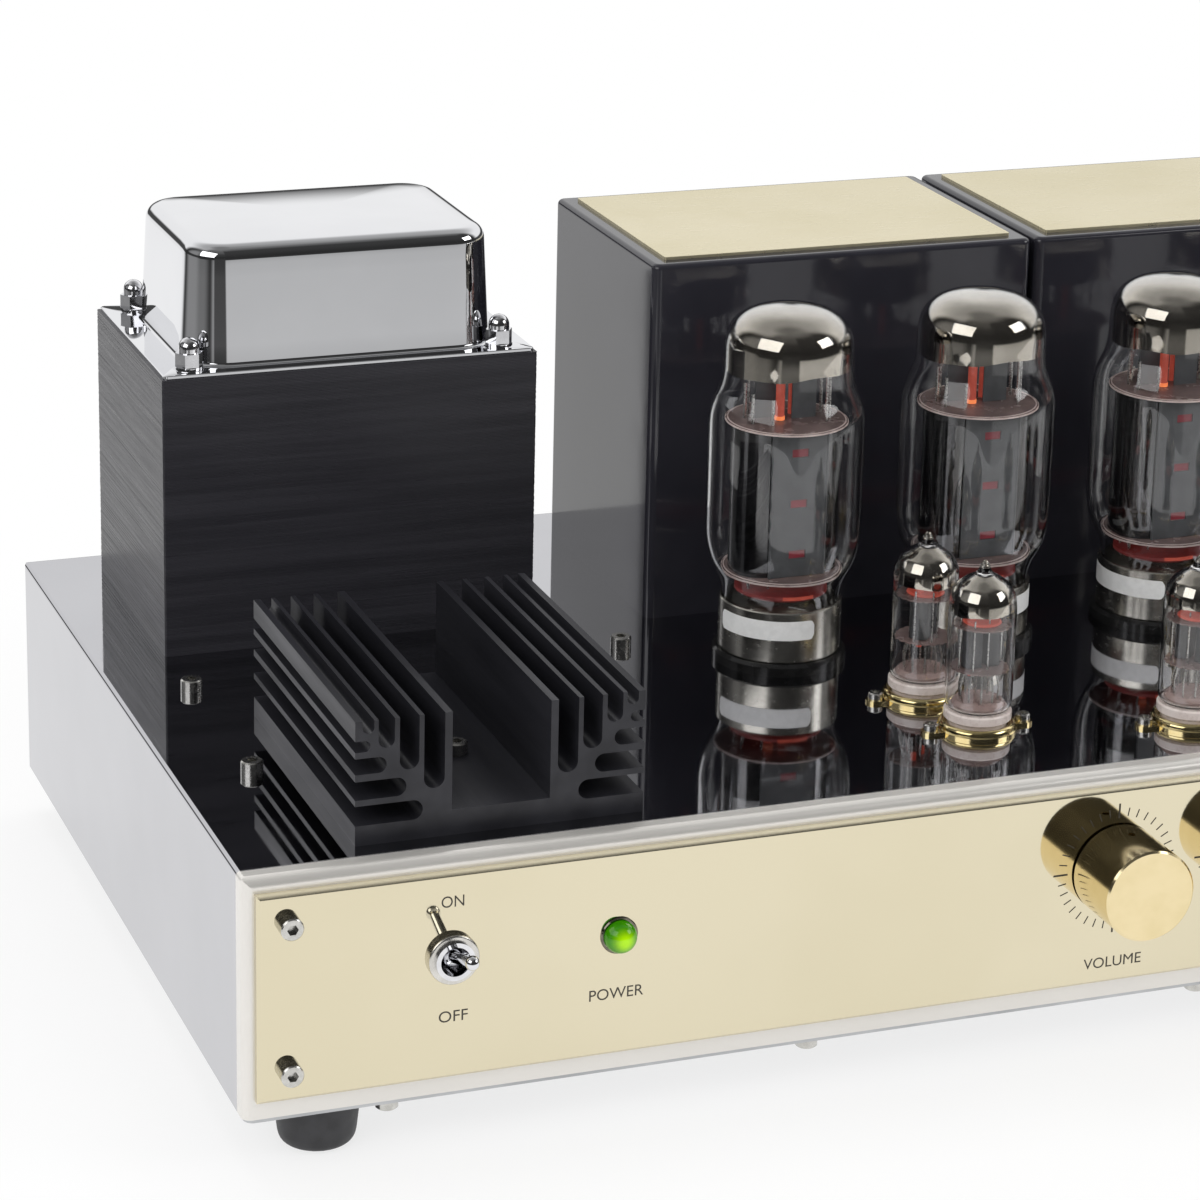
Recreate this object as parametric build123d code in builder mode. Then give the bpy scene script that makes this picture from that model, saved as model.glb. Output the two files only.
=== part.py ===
from build123d import *
import math
import os

os.makedirs("parts", exist_ok=True)

# Vacuum-tube integrated amplifier, millimetres, +Z up, controls facing -Y.
# The origin is on the surface it stands on, under the middle of its overall box.

# ---------------------------------------------------------------- driving sizes
# Chassis
chassis_width = 500.0
chassis_depth = 293.0
chassis_height = 78.0          # deck above the underside of the bottom plate
sheet = 2.0                    # steel sheet of the shell
corner_radius = 3.0            # upright corners and the deck's front edge
edge_radius = 1.4              # deck's side and rear edges
lip_width = 12.0               # inward lip that takes the bottom plate's screws
bottom_sheet = 1.5
bottom_margin = 1.0            # bottom plate inset from the shell's outline
vent_width = 3.0
vent_length = 36.0
vent_pitch = 9.0
vent_count = 12
vent_row_offset = 58.6         # each row of vents from the middle
foot_height = 15.5
foot_radius = 13.4
foot_taper = 1.4
foot_rounding = 4.0
foot_inset_x = 27.0
foot_inset_y = 16.0

# Front panel
panel_thickness = 3.0
panel_chamfer = 1.0
panel_side_margin = 3.6
panel_top_margin = 4.7
panel_bottom_margin = 7.6
panel_screw_inset = 9.6

# Screws: M4 socket-head cap screws everywhere on the chassis
screw_radius = 2.0
screw_head_radius = 3.5
screw_head_height = 4.0
screw_socket_width = 3.0       # across flats
screw_socket_depth = 2.0
screw_reach = 6.0              # thread beyond the last sheet
screw_clearance = 0.15
screw_chamfer = 0.4
deck_screws = ((24.7, 79.2), (24.7, 152.8), (143.0, 79.2), (172.0, 150.2))   # from the chassis's left side and front
bottom_screw_inner = 68.0      # to either side of the middle
bottom_screw_outer = 46.0      # from each side of the chassis
bottom_screw_inset = 7.0

# Controls on the front, distances from the chassis's left side and its underside
control_height = 46.6
switch_x = 62.8
lamp_x = 115.1
first_knob_x = 281.2
knob_pitch = 49.5
knob_radius = 15.0
knob_length = 22.5
knob_gap = 0.8
knob_rounding = 0.6
knob_bore_depth = 16.0
grub_hole_radius = 1.2         # in the top of the knob, where it is also the pointer
shaft_radius = 3.0
shaft_clearance = 0.05
shaft_end_gap = 1.0            # behind the shaft's end in its control
bushing_radius = 4.5
bushing_clearance = 0.25
control_body_radius = 12.5
control_body_length = 20.0
control_nut_width = 12.0
control_nut_thickness = 2.4
panel_knob_hole_radius = 8.2

# Power switch
switch_bushing_radius = 6.0
switch_bushing_front = 3.6     # bushing ahead of the panel's face
switch_bore_radius = 4.6
switch_nut_radius = 7.9
switch_nut_thickness = 2.4
switch_nut_rounding = 0.7
switch_body_width = 14.0
switch_body_height = 28.0
switch_body_depth = 20.0
lever_tilt = 18.0              # lever above level when it is on
lever_length = 20.5            # pivot to the middle of the ball tip
lever_root_radius = 1.9
lever_neck_radius = 1.5
lever_tip_radius = 2.2
lever_ball_radius = 3.3
lever_tail = 6.0
pivot_pin_radius = 1.0
pivot_pin_inset = 0.5          # each end of the pin inside the bushing
pivot_depth = 1.0              # pivot behind the panel's face

# Indicator lamp
lamp_radius = 4.0
lamp_bezel_radius = 5.2
lamp_bezel_front = 1.2
lamp_bezel_wall = 0.6
lamp_body_length = 14.0
lamp_gap = 0.05
lamp_bezel_tail = 1.0          # bezel behind the front wall

# Power transformer: a stack of black laminations with a chromed bell
stack_x = 24.0                 # left face from the chassis's left side
stack_rear_margin = 17.0       # rear face from the chassis's rear
stack_width = 128.6
stack_depth = 91.6
stack_height = 95.2
winding_gap = 0.3
winding_clearance = 0.8        # between the winding and the outer legs
winding_rounding = 8.0
bell_setback_x = 10.8          # from the stack's sides
bell_setback_y = 6.8           # from the stack's front and rear
bell_height = 41.9
bell_draft = 3.0
bell_corner = 15.0
bell_top_rounding = 5.0
bell_wall = 1.2
bell_flange_margin = 0.8
bell_flange = 1.2
bell_flange_corner = 1.5
bolt_inset_x = 11.0
bolt_inset_y = 8.0
bolt_radius = 2.5
bolt_clearance = 0.2
bolt_head_width = 8.0
bolt_head_height = 3.5
acorn_width = 8.0
acorn_hex_height = 4.6
acorn_dome_radius = 3.5
acorn_height = 9.6
washer_radius = 4.6
washer_thickness = 1.0

# Output transformers: two glossy cans with a plate on top of each
can_x = 189.6
can_y = 173.3
can_width = 140.0
can_depth = 98.7
can_height = 125.1
can_gap = 2.0                  # between the two cans
can_wall = 1.5
can_rounding = 3.0             # upright edges
can_top_rounding = 1.8
plate_margin = 6.0
plate_thickness = 1.0
plate_corner = 0.8
output_core_width = 96.0
output_core_height = 80.0
output_core_stack = 40.0
output_winding_build = 14.0
lead_slot_length = 32.0        # slot in the deck under each can for the winding's leads
lead_slot_width = 7.0
lead_slot_offset = 32.9        # ahead of the can's middle

# Heat sink: an extruded channel with a comb of fins in each corner
sink_x = 38.0
sink_y = 14.1
sink_width = 90.3
sink_length = 111.0
sink_height = 39.0
sink_floor = 8.0
sink_screw_y = 42.5             # from the heat sink's front
comb_width = 29.8              # each corner comb, from the outer face to its inner fin

# Output tubes in octal sockets
tube_group_x = 325.6           # middle of the row from the chassis's left side
tube_row_y = 128.3
inner_tube_offset = 36.0
tube_pair_pitch = 69.5
socket_rim_radius = 22.5
socket_rim_height = 4.0
socket_body_radius = 16.5
socket_body_depth = 16.0
socket_clearance = 0.3
socket_rim_chamfer = 1.0
socket_hole_extra = 1.0        # pin and key holes beyond the pins' ends
base_radius = 20.5
base_bottom = 4.3              # above the deck
base_top = 21.5
base_wall = 0.8
base_floor = 2.0
pin_circle_radius = 8.73
pin_radius = 1.2
pin_length = 11.0
pin_count = 8
key_radius = 4.0
key_length = 14.0
pin_clearance = 0.1
bulb_radius = 26.0
bulb_neck_radius = 21.6
bulb_foot_radius = 19.5
bulb_foot_bottom = 6.6         # above the deck
bulb_belly_low = 42.0
bulb_belly_high = 84.0
bulb_neck_low = 96.0
bulb_neck_high = 110.0
bulb_top = 121.4
glass_wall = 1.0
mica_radius = 20.0
mica_thickness = 0.8
mica_low = 31.0
mica_high = 82.0
anode_half_width = 18.5
anode_half_depth = 12.0
anode_wall = 0.8
anode_corner = 8.4
rod_radius = 0.8
rod_spacing = 9.0
rod_row = 4.0                  # each row of rods from the anode's middle
getter_post_top = 100.0

# Small driver tubes in nine-pin sockets: x, y from the group's middle and the chassis's front
driver_places = ((-76.1, 78.0), (-70.6, 47.0), (-2.0, 32.0), (66.6, 47.0), (72.1, 78.0))
driver_radius = 10.85
driver_bottom = 7.3
driver_shoulder = 42.5
driver_top = 52.4
driver_pip_top = 56.8
driver_pip_radius = 1.8
driver_pin_circle_radius = 5.95
driver_pin_radius = 0.5
driver_pin_length = 6.5
driver_pin_count = 9
driver_pin_clearance = 0.1
driver_anode_radius = 6.2
driver_mica_radius = 9.2
driver_mica_low = 21.0
driver_mica_high = 35.5
ceramic_rim_radius = 11.4
ceramic_rim_height = 2.4
ceramic_body_radius = 9.4
ceramic_depth = 10.0
ceramic_gap = 0.15
flange_ring_radius = 12.9
flange_ring_height = 3.8
flange_rounding = 1.2
flange_sheet = 1.0
flange_screw_offset = 16.2
flange_ear_radius = 3.2
flange_screw_radius = 1.5
flange_screw_head_radius = 2.4
flange_screw_head_height = 2.4
flange_screw_length = 8.0
flange_screw_socket_width = 2.4
flange_screw_socket_depth = 1.0

# Rear panel
inlet_x = 70.0                 # from the chassis's left side
inlet_height = 42.0
inlet_flange_width = 50.0
inlet_flange_height = 40.0
inlet_flange_thickness = 3.0
inlet_rounding = 3.0
inlet_body_width = 32.0
inlet_body_height = 34.0
inlet_body_depth = 30.0
inlet_recess_width = 26.0
inlet_recess_height = 18.0
inlet_recess_depth = 19.0
inlet_recess_rise = 5.0        # recess's middle above the inlet's middle
inlet_pin_width = 2.0
inlet_pin_height = 4.0
inlet_pin_length = 12.5
inlet_pin_spread = 7.0
inlet_pin_stagger = 2.0        # middle contact above the recess's middle, outer ones below
drawer_width = 24.0
drawer_height = 7.0
drawer_drop = 11.0             # drawer's middle below the inlet's middle
drawer_length = 24.0
drawer_lip = 1.6
drawer_face_width = 28.0
drawer_face_height = 8.6
drawer_face_corner = 1.5
drawer_clearance = 0.3
rca_columns = 4
rca_first_x = 190.0
rca_pitch = 19.0
rca_low = 35.0
rca_high = 54.0
rca_flange_radius = 6.0
rca_flange_thickness = 1.8
rca_barrel_radius = 4.15
rca_barrel_length = 9.0
rca_bore_radius = 3.3
rca_core_radius = 1.9
rca_thread_radius = 3.2
rca_thread_length = 8.0
post_places = (318.0, 346.0, 406.0, 434.0)
post_height = 44.0
post_collar_radius = 7.5
post_collar_thickness = 4.0
post_stud_radius = 2.0
post_stud_length = 13.0
post_tail = 9.0
post_cap_radius = 7.0
post_cap_length = 19.5
post_cap_gap = 0.3
post_bore_extra = 0.06
post_bore_end = 1.0            # bore beyond the stud's end
post_flutes = 12
post_flute_radius = 0.9

# Power-supply board hung under the deck
board_x = 15.0
board_y = 62.0
board_width = 166.0
board_depth = 98.0
board_thickness = 1.6
standoff_length = 14.0
standoff_radius = 3.5
capacitor_radius = 15.0
capacitor_length = 38.0
capacitor_rounding = 1.5
capacitor_pitch_x = 40.0
capacitor_pitch_y = 40.0
capacitor_columns = 3
capacitor_bank_x = 83.0         # middle of the bank from the chassis's left side
capacitor_rows = 2

# ---------------------------------------------------------------- places worked out
front_reach = panel_thickness + knob_gap + knob_length
rear_reach = post_collar_thickness + post_cap_gap + post_cap_length
overall_depth = chassis_depth + front_reach + rear_reach
front_y = -overall_depth / 2 + front_reach
rear_y = front_y + chassis_depth
middle_y = (front_y + rear_y) / 2
left_x = -chassis_width / 2
underside_z = foot_height
shell_z = underside_z + bottom_sheet
deck_z = underside_z + chassis_height
deck_under_z = deck_z - sheet
face_y = front_y - panel_thickness       # front face of the gold panel
control_z = underside_z + control_height
knob_back_y = face_y - knob_gap
knob_xs = [left_x + first_knob_x + knob_pitch * i for i in range(4)]
switch_at = (left_x + switch_x, control_z)
lamp_at = (left_x + lamp_x, control_z)
stack_cx = left_x + stack_x + stack_width / 2
stack_cy = rear_y - stack_rear_margin - stack_depth / 2
stack_top_z = deck_z + stack_height
bell_width = stack_width - 2 * bell_setback_x
bell_depth = stack_depth - 2 * bell_setback_y
leg_width = stack_width / 3
window_width = stack_width / 6
window_depth = stack_depth - window_width * 4 / 3
winding_build = window_width - winding_gap - winding_clearance   # thickness around the middle leg
winding_depth = window_depth - 2 * winding_gap
can_cy = front_y + can_y + can_depth / 2
can_cxs = [left_x + can_x + can_width / 2 + (can_width + can_gap) * i for i in range(2)]
can_top_z = deck_z + can_height
group_x = left_x + tube_group_x
outer_tube_offset = inner_tube_offset + tube_pair_pitch
tube_offsets = (-outer_tube_offset, -inner_tube_offset, inner_tube_offset, outer_tube_offset)
tube_xs = [group_x + offset for offset in tube_offsets]
tube_y = front_y + tube_row_y
driver_points = [(group_x + x, front_y + y) for x, y in driver_places]
deck_points = [(left_x + x, front_y + y) for x, y in deck_screws]
sink_cx = left_x + sink_x + sink_width / 2
sink_screw_at = (sink_cx, front_y + sink_y + sink_screw_y)
bottom_xs = [s * x for x in (bottom_screw_inner, chassis_width / 2 - bottom_screw_outer) for s in (-1, 1)]
bottom_ys = (front_y + bottom_screw_inset, rear_y - bottom_screw_inset)
bottom_points = [(x, y) for x in bottom_xs for y in bottom_ys]
foot_x = chassis_width / 2 - foot_inset_x
foot_points = [(s * foot_x, y) for s in (-1, 1) for y in (front_y + foot_inset_y, rear_y - foot_inset_y)]
panel_low_z = underside_z + panel_bottom_margin
panel_high_z = deck_z - panel_top_margin
panel_width = chassis_width - 2 * panel_side_margin
panel_screw_x = panel_width / 2 - panel_screw_inset
panel_screw_zs = (panel_low_z + panel_screw_inset, panel_high_z - panel_screw_inset)
panel_screw_points = [(s * panel_screw_x, z) for s in (-1, 1) for z in panel_screw_zs]
bolt_dx = stack_width / 2 - bolt_inset_x
bolt_dy = stack_depth / 2 - bolt_inset_y
bolt_points = [(stack_cx + sx * bolt_dx, stack_cy + sy * bolt_dy) for sx in (-1, 1) for sy in (-1, 1)]
inlet_at = (left_x + inlet_x, underside_z + inlet_height)
rca_xs = [left_x + rca_first_x + rca_pitch * i for i in range(rca_columns)]
rca_points = [(x, underside_z + h) for x in rca_xs for h in (rca_low, rca_high)]
post_points = [(left_x + x, underside_z + post_height) for x in post_places]
board_cx = left_x + board_x + board_width / 2
board_cy = front_y + board_y + board_depth / 2
board_top_z = deck_under_z - standoff_length
screw_hole_radius = screw_radius + screw_clearance
stack_hole_radius = bolt_radius + bolt_clearance


def facing_front(y):
    """Upright plane at y whose normal points to the front; local x is +X, local y is +Z."""
    return Plane(origin=(0, y, 0), x_dir=(1, 0, 0), z_dir=(0, -1, 0))


def facing_rear(y):
    """Upright plane at y whose normal points to the rear; local x is -X, local y is +Z."""
    return Plane(origin=(0, y, 0), x_dir=(-1, 0, 0), z_dir=(0, 1, 0))


def mirrored(points):
    """Points given by X, Z as a plane that faces the rear sees them."""
    return [(-x, z) for x, z in points]


def keep(part, name):
    """Label a finished piece and write it as its own file."""
    part.label = name
    export_step(part, f"parts/{name}.step")


# ---------------------------------------------------------------- chassis
with BuildPart() as chassis_shell:
    shell_height = deck_z - shell_z
    with BuildSketch(Plane.XY.offset(shell_z)):
        with Locations((0, middle_y)):
            RectangleRounded(chassis_width, chassis_depth, corner_radius)
    extrude(amount=shell_height)
    # seen from the side: the front edge of the deck is rounder than the rear one
    side_plane = Plane(origin=(0, 0, 0), x_dir=(0, 1, 0), z_dir=(1, 0, 0))
    with BuildSketch(side_plane):
        with BuildLine():
            Polyline((front_y, deck_z - corner_radius), (front_y, shell_z), (rear_y, shell_z),
                     (rear_y, deck_z - edge_radius))
            RadiusArc((rear_y, deck_z - edge_radius), (rear_y - edge_radius, deck_z), -edge_radius)
            Line((rear_y - edge_radius, deck_z), (front_y + corner_radius, deck_z))
            RadiusArc((front_y + corner_radius, deck_z), (front_y, deck_z - corner_radius), -corner_radius)
        make_face()
    extrude(amount=chassis_width, both=True, mode=Mode.INTERSECT)
    # seen from the front: both side edges of the deck are lightly rounded
    half = chassis_width / 2
    with BuildSketch(facing_front(0)):
        with BuildLine():
            Polyline((-half, deck_z - edge_radius), (-half, shell_z), (half, shell_z),
                     (half, deck_z - edge_radius))
            RadiusArc((half, deck_z - edge_radius), (half - edge_radius, deck_z), -edge_radius)
            Line((half - edge_radius, deck_z), (-half + edge_radius, deck_z))
            RadiusArc((-half + edge_radius, deck_z), (-half, deck_z - edge_radius), -edge_radius)
        make_face()
    extrude(amount=chassis_depth * 2, both=True, mode=Mode.INTERSECT)
    # the inside, and a narrower mouth that leaves the lips
    with BuildSketch(Plane.XY.offset(shell_z + sheet)):
        with Locations((0, middle_y)):
            Rectangle(chassis_width - 2 * sheet, chassis_depth - 2 * sheet)
    extrude(amount=shell_height - 2 * sheet, mode=Mode.SUBTRACT)
    with BuildSketch(Plane.XY.offset(shell_z)):
        with Locations((0, middle_y)):
            Rectangle(chassis_width - 2 * lip_width, chassis_depth - 2 * lip_width)
        with Locations(*bottom_points):
            Circle(screw_radius)
    extrude(amount=sheet, mode=Mode.SUBTRACT)
    # openings in the deck for sockets, screws, the transformer winding and leads
    with BuildSketch(Plane.XY.offset(deck_under_z)):
        with Locations(*[(x, tube_y) for x in tube_xs]):
            Circle(socket_body_radius + socket_clearance)
        with Locations(*driver_points):
            Circle(ceramic_body_radius + ceramic_gap)
        for x, y in driver_points:
            with Locations((x - flange_screw_offset, y), (x + flange_screw_offset, y)):
                Circle(flange_screw_radius)
        with Locations(*deck_points):
            Circle(screw_hole_radius)
        with Locations(sink_screw_at):
            Circle(screw_radius)
        with Locations(*bolt_points):
            Circle(stack_hole_radius)
        with Locations((stack_cx, stack_cy)):
            winding_outer = leg_width + 2 * winding_build + 4 * winding_gap
            Rectangle(winding_outer, window_depth)
        with Locations(*[(x, can_cy - lead_slot_offset) for x in can_cxs]):
            SlotOverall(lead_slot_length, lead_slot_width)
    extrude(amount=sheet, mode=Mode.SUBTRACT)
    # openings in the front wall
    with BuildSketch(facing_front(front_y + sheet)):
        with Locations(*[(x, control_z) for x in knob_xs]):
            Circle(bushing_radius + bushing_clearance)
        with Locations(switch_at):
            Circle(switch_bushing_radius + bushing_clearance)
        with Locations(lamp_at):
            Circle(lamp_radius + lamp_bezel_wall + lamp_gap)
        with Locations(*panel_screw_points):
            Circle(screw_radius)
    extrude(amount=sheet, mode=Mode.SUBTRACT)
    # openings in the rear wall
    with BuildSketch(facing_rear(rear_y - sheet)):
        with Locations(*mirrored([inlet_at])):
            Rectangle(inlet_body_width + bushing_clearance, inlet_body_height + bushing_clearance)
        with Locations(*mirrored(rca_points)):
            Circle(rca_thread_radius + bushing_clearance)
        with Locations(*mirrored(post_points)):
            Circle(post_stud_radius + bushing_clearance)
    extrude(amount=sheet, mode=Mode.SUBTRACT)
keep(chassis_shell.part, "chassis_shell")

with BuildPart() as bottom_plate:
    with BuildSketch(Plane.XY.offset(underside_z)):
        with Locations((0, middle_y)):
            RectangleRounded(chassis_width - 2 * bottom_margin, chassis_depth - 2 * bottom_margin,
                             corner_radius)
        with Locations(*bottom_points):
            Circle(screw_hole_radius, mode=Mode.SUBTRACT)
        for row_y in (middle_y - vent_row_offset, middle_y + vent_row_offset):
            with Locations((0, row_y)):
                with GridLocations(vent_pitch, 1, vent_count, 1):
                    SlotOverall(vent_length, vent_width, rotation=90, mode=Mode.SUBTRACT)
    extrude(amount=bottom_sheet)
keep(bottom_plate.part, "bottom_plate")

with BuildPart() as rubber_feet:
    with BuildSketch(Plane.XZ) as foot_profile:
        with BuildLine():
            Polyline((0, foot_height), (foot_radius, foot_height), (foot_radius - foot_taper, foot_rounding))
            low_x = foot_radius - foot_taper - foot_rounding
            Spline((foot_radius - foot_taper, foot_rounding), (low_x, 0),
                   tangents=((-foot_taper, foot_rounding - foot_height), (-1, 0)))
            Polyline((low_x, 0), (0, 0), (0, foot_height))
        make_face()
    foot = revolve(axis=Axis.Z, mode=Mode.PRIVATE)
    with Locations(*foot_points):
        add(foot)
keep(rubber_feet.part, "rubber_feet")

with BuildPart() as front_panel:
    with BuildSketch(facing_front(front_y)):
        with Locations((0, (panel_low_z + panel_high_z) / 2)):
            Rectangle(panel_width, panel_high_z - panel_low_z)
    extrude(amount=panel_thickness)
    chamfer(faces().sort_by(Axis.Y)[0].edges(), panel_chamfer)
    with BuildSketch(facing_front(front_y)):
        with Locations(*[(x, control_z) for x in knob_xs]):
            Circle(panel_knob_hole_radius)
        with Locations(switch_at):
            Circle(switch_bushing_radius + bushing_clearance)
        with Locations(lamp_at):
            Circle(lamp_radius + lamp_bezel_wall + lamp_gap)
        with Locations(*panel_screw_points):
            Circle(screw_hole_radius)
    extrude(amount=panel_thickness, mode=Mode.SUBTRACT)
keep(front_panel.part, "front_panel")


def cap_screw(shank):
    """M4 socket-head screw along +Z at the origin: the head stands on z = 0, the shank is below."""
    with BuildPart() as screw:
        with BuildSketch():
            Circle(screw_head_radius)
        extrude(amount=screw_head_height)
        chamfer(faces().sort_by(Axis.Z)[-1].edges(), screw_chamfer)
        with BuildSketch(Plane.XY.offset(screw_head_height - screw_socket_depth)):
            RegularPolygon(screw_socket_width / 2, 6, major_radius=False)
        extrude(amount=screw_socket_depth, mode=Mode.SUBTRACT)
        with BuildSketch():
            Circle(screw_radius)
        extrude(amount=-shank)
    return screw.part


def places_on(plane, points):
    """Locations at points of a plane, each with the plane's own direction."""
    return [plane.location * Location((x, y, 0)) for x, y in points]


with BuildPart() as chassis_screws:
    deck_screw = cap_screw(sheet + standoff_length + board_thickness + screw_reach / 2)
    sink_screw = cap_screw(sink_floor + sheet + screw_reach)
    panel_screw = cap_screw(panel_thickness + sheet + screw_reach)
    bottom_screw = cap_screw(bottom_sheet + sheet + screw_reach)
    under = Plane(origin=(0, 0, underside_z), x_dir=(1, 0, 0), z_dir=(0, 0, -1))
    with Locations(*places_on(Plane.XY.offset(deck_z), deck_points)):
        add(deck_screw)
    with Locations(*places_on(Plane.XY.offset(deck_z + sink_floor), [sink_screw_at])):
        add(sink_screw)
    with Locations(*places_on(facing_front(face_y), panel_screw_points)):
        add(panel_screw)
    with Locations(*places_on(under, [(x, -y) for x, y in bottom_points])):
        add(bottom_screw)
keep(chassis_screws.part, "chassis_screws")


# ---------------------------------------------------------------- power transformer
with BuildPart() as power_transformer_core:
    with BuildSketch(Plane.XY.offset(deck_z)):
        with Locations((stack_cx, stack_cy)):
            Rectangle(stack_width, stack_depth)
            with Locations((-leg_width / 2 - window_width / 2, 0), (leg_width / 2 + window_width / 2, 0)):
                Rectangle(window_width, window_depth, mode=Mode.SUBTRACT)
        with Locations(*bolt_points):
            Circle(stack_hole_radius, mode=Mode.SUBTRACT)
    extrude(amount=stack_height)
keep(power_transformer_core.part, "power_transformer_core")

with BuildPart() as power_transformer_winding:
    winding_cz = deck_z + stack_height / 2
    with BuildSketch(facing_front(stack_cy - winding_depth / 2)):
        with Locations((stack_cx, winding_cz)):
            winding_reach = 2 * winding_build + 2 * winding_gap
            RectangleRounded(leg_width + winding_reach, stack_height + winding_reach, winding_rounding)
            Rectangle(leg_width + 2 * winding_gap, stack_height + 2 * winding_gap, mode=Mode.SUBTRACT)
    extrude(amount=-winding_depth)
keep(power_transformer_winding.part, "power_transformer_winding")


def bell_block(inset):
    """The bell's rounded block, drawn inwards by inset on every side but the open one."""
    with BuildPart() as block:
        with BuildSketch(Plane.XY.offset(stack_top_z)):
            with Locations((stack_cx, stack_cy)):
                RectangleRounded(bell_width - 2 * inset, bell_depth - 2 * inset, bell_corner - inset)
        extrude(amount=bell_height - inset, taper=bell_draft)
        fillet(faces().sort_by(Axis.Z)[-1].edges(), bell_top_rounding - inset)
    return block.part


bell_outside = bell_block(0)
bell_inside = bell_block(bell_wall)
with BuildPart() as power_transformer_bell:
    with BuildSketch(Plane.XY.offset(stack_top_z)):
        with Locations((stack_cx, stack_cy)):
            RectangleRounded(stack_width - 2 * bell_flange_margin, stack_depth - 2 * bell_flange_margin,
                             bell_flange_corner)
        with Locations(*bolt_points):
            Circle(stack_hole_radius, mode=Mode.SUBTRACT)
    extrude(amount=bell_flange)
    add(bell_outside)
    add(bell_inside, mode=Mode.SUBTRACT)
keep(power_transformer_bell.part, "power_transformer_bell")

bolt_top_z = stack_top_z + bell_flange + washer_thickness
with BuildPart() as power_transformer_bolts:
    with BuildSketch(Plane.XY.offset(deck_under_z - bolt_head_height)):
        with Locations(*bolt_points):
            RegularPolygon(bolt_head_width / 2, 6, major_radius=False)
    extrude(amount=bolt_head_height)
    with BuildSketch(Plane.XY.offset(deck_under_z)):
        with Locations(*bolt_points):
            Circle(bolt_radius)
    extrude(amount=bolt_top_z + acorn_hex_height / 2 - deck_under_z)
keep(power_transformer_bolts.part, "power_transformer_bolts")

with BuildPart() as power_transformer_acorn_nuts:
    with BuildSketch(Plane.XY.offset(stack_top_z + bell_flange)):
        with Locations(*bolt_points):
            Circle(washer_radius)
    extrude(amount=washer_thickness)
    with BuildSketch(Plane.XY.offset(bolt_top_z)):
        with Locations(*bolt_points):
            RegularPolygon(acorn_width / 2, 6, major_radius=False)
    extrude(amount=acorn_hex_height)
    dome_rise = acorn_height - acorn_hex_height - acorn_dome_radius
    with BuildSketch(Plane.XY.offset(bolt_top_z + acorn_hex_height)):
        with Locations(*bolt_points):
            Circle(acorn_dome_radius)
    extrude(amount=dome_rise)
    with Locations(*[(x, y, bolt_top_z + acorn_hex_height + dome_rise) for x, y in bolt_points]):
        Sphere(acorn_dome_radius)
    with BuildSketch(Plane.XY.offset(stack_top_z + bell_flange)):
        with Locations(*bolt_points):
            Circle(bolt_radius)
    extrude(amount=washer_thickness + acorn_hex_height / 2, mode=Mode.SUBTRACT)
keep(power_transformer_acorn_nuts.part, "power_transformer_acorn_nuts")


# ---------------------------------------------------------------- output transformers
def transformer_can(cx):
    with BuildPart() as can:
        with BuildSketch(Plane.XY.offset(deck_z)):
            with Locations((cx, can_cy)):
                RectangleRounded(can_width, can_depth, can_rounding)
        extrude(amount=can_height)
        fillet(faces().sort_by(Axis.Z)[-1].edges(), can_top_rounding)
        with BuildSketch(Plane.XY.offset(deck_z)):
            with Locations((cx, can_cy)):
                Rectangle(can_width - 2 * can_wall - can_rounding, can_depth - 2 * can_wall - can_rounding)
        extrude(amount=can_height - can_wall, mode=Mode.SUBTRACT)
    return can.part


for side, can_cx in zip(("left", "right"), can_cxs):
    keep(transformer_can(can_cx), f"{side}_output_transformer_can")

with BuildPart() as output_transformer_plates:
    with BuildSketch(Plane.XY.offset(can_top_z)):
        with Locations(*[(x, can_cy) for x in can_cxs]):
            RectangleRounded(can_width - 2 * plate_margin, can_depth - 2 * plate_margin, plate_corner)
    extrude(amount=plate_thickness)
keep(output_transformer_plates.part, "output_transformer_plates")

output_leg = output_core_width / 3
output_window = output_core_width / 6
with BuildPart() as output_transformer_cores:
    window_dx = (output_leg + output_window) / 2
    with BuildSketch(facing_front(can_cy - output_core_stack / 2)):
        for cx in can_cxs:
            with Locations((cx, deck_z + output_core_height / 2)):
                Rectangle(output_core_width, output_core_height)
                with Locations((-window_dx, 0), (window_dx, 0)):
                    Rectangle(output_window, output_core_height - 2 * output_window, mode=Mode.SUBTRACT)
    extrude(amount=-output_core_stack)
keep(output_transformer_cores.part, "output_transformer_cores")

with BuildPart() as output_transformer_windings:
    coil_height = output_core_height - 2 * output_window - 2 * winding_gap
    coil_low_z = deck_z + output_window + winding_gap
    coil_reach = 2 * output_winding_build + 2 * winding_gap
    with BuildSketch(Plane.XY.offset(coil_low_z)):
        with Locations(*[(x, can_cy) for x in can_cxs]):
            RectangleRounded(output_leg + coil_reach, output_core_stack + coil_reach,
                             output_winding_build / 2)
            Rectangle(output_leg + 2 * winding_gap, output_core_stack + 2 * winding_gap, mode=Mode.SUBTRACT)
    extrude(amount=coil_height)
keep(output_transformer_windings.part, "output_transformer_windings")


# ---------------------------------------------------------------- heat sink
# Each comb is a square block in which slots leave upright and level fins on a slanted web.
# A slot is (near edge, width, floor): measured from the inner fin for the upright ones, and
# from the top of the base for the level ones; the floor is counted from the deck or the outer face.
fin_slots_upright = ((2.3, 6.4, 15.6), (10.2, 6.0, 22.4), (17.7, 5.0, 30.0), (24.0, 3.6, 35.0))
fin_slots_level = ((6.3, 6.2, 20.8), (14.4, 5.8, 15.7), (22.4, 5.0, 9.6), (29.4, 3.4, 4.6))


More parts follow.
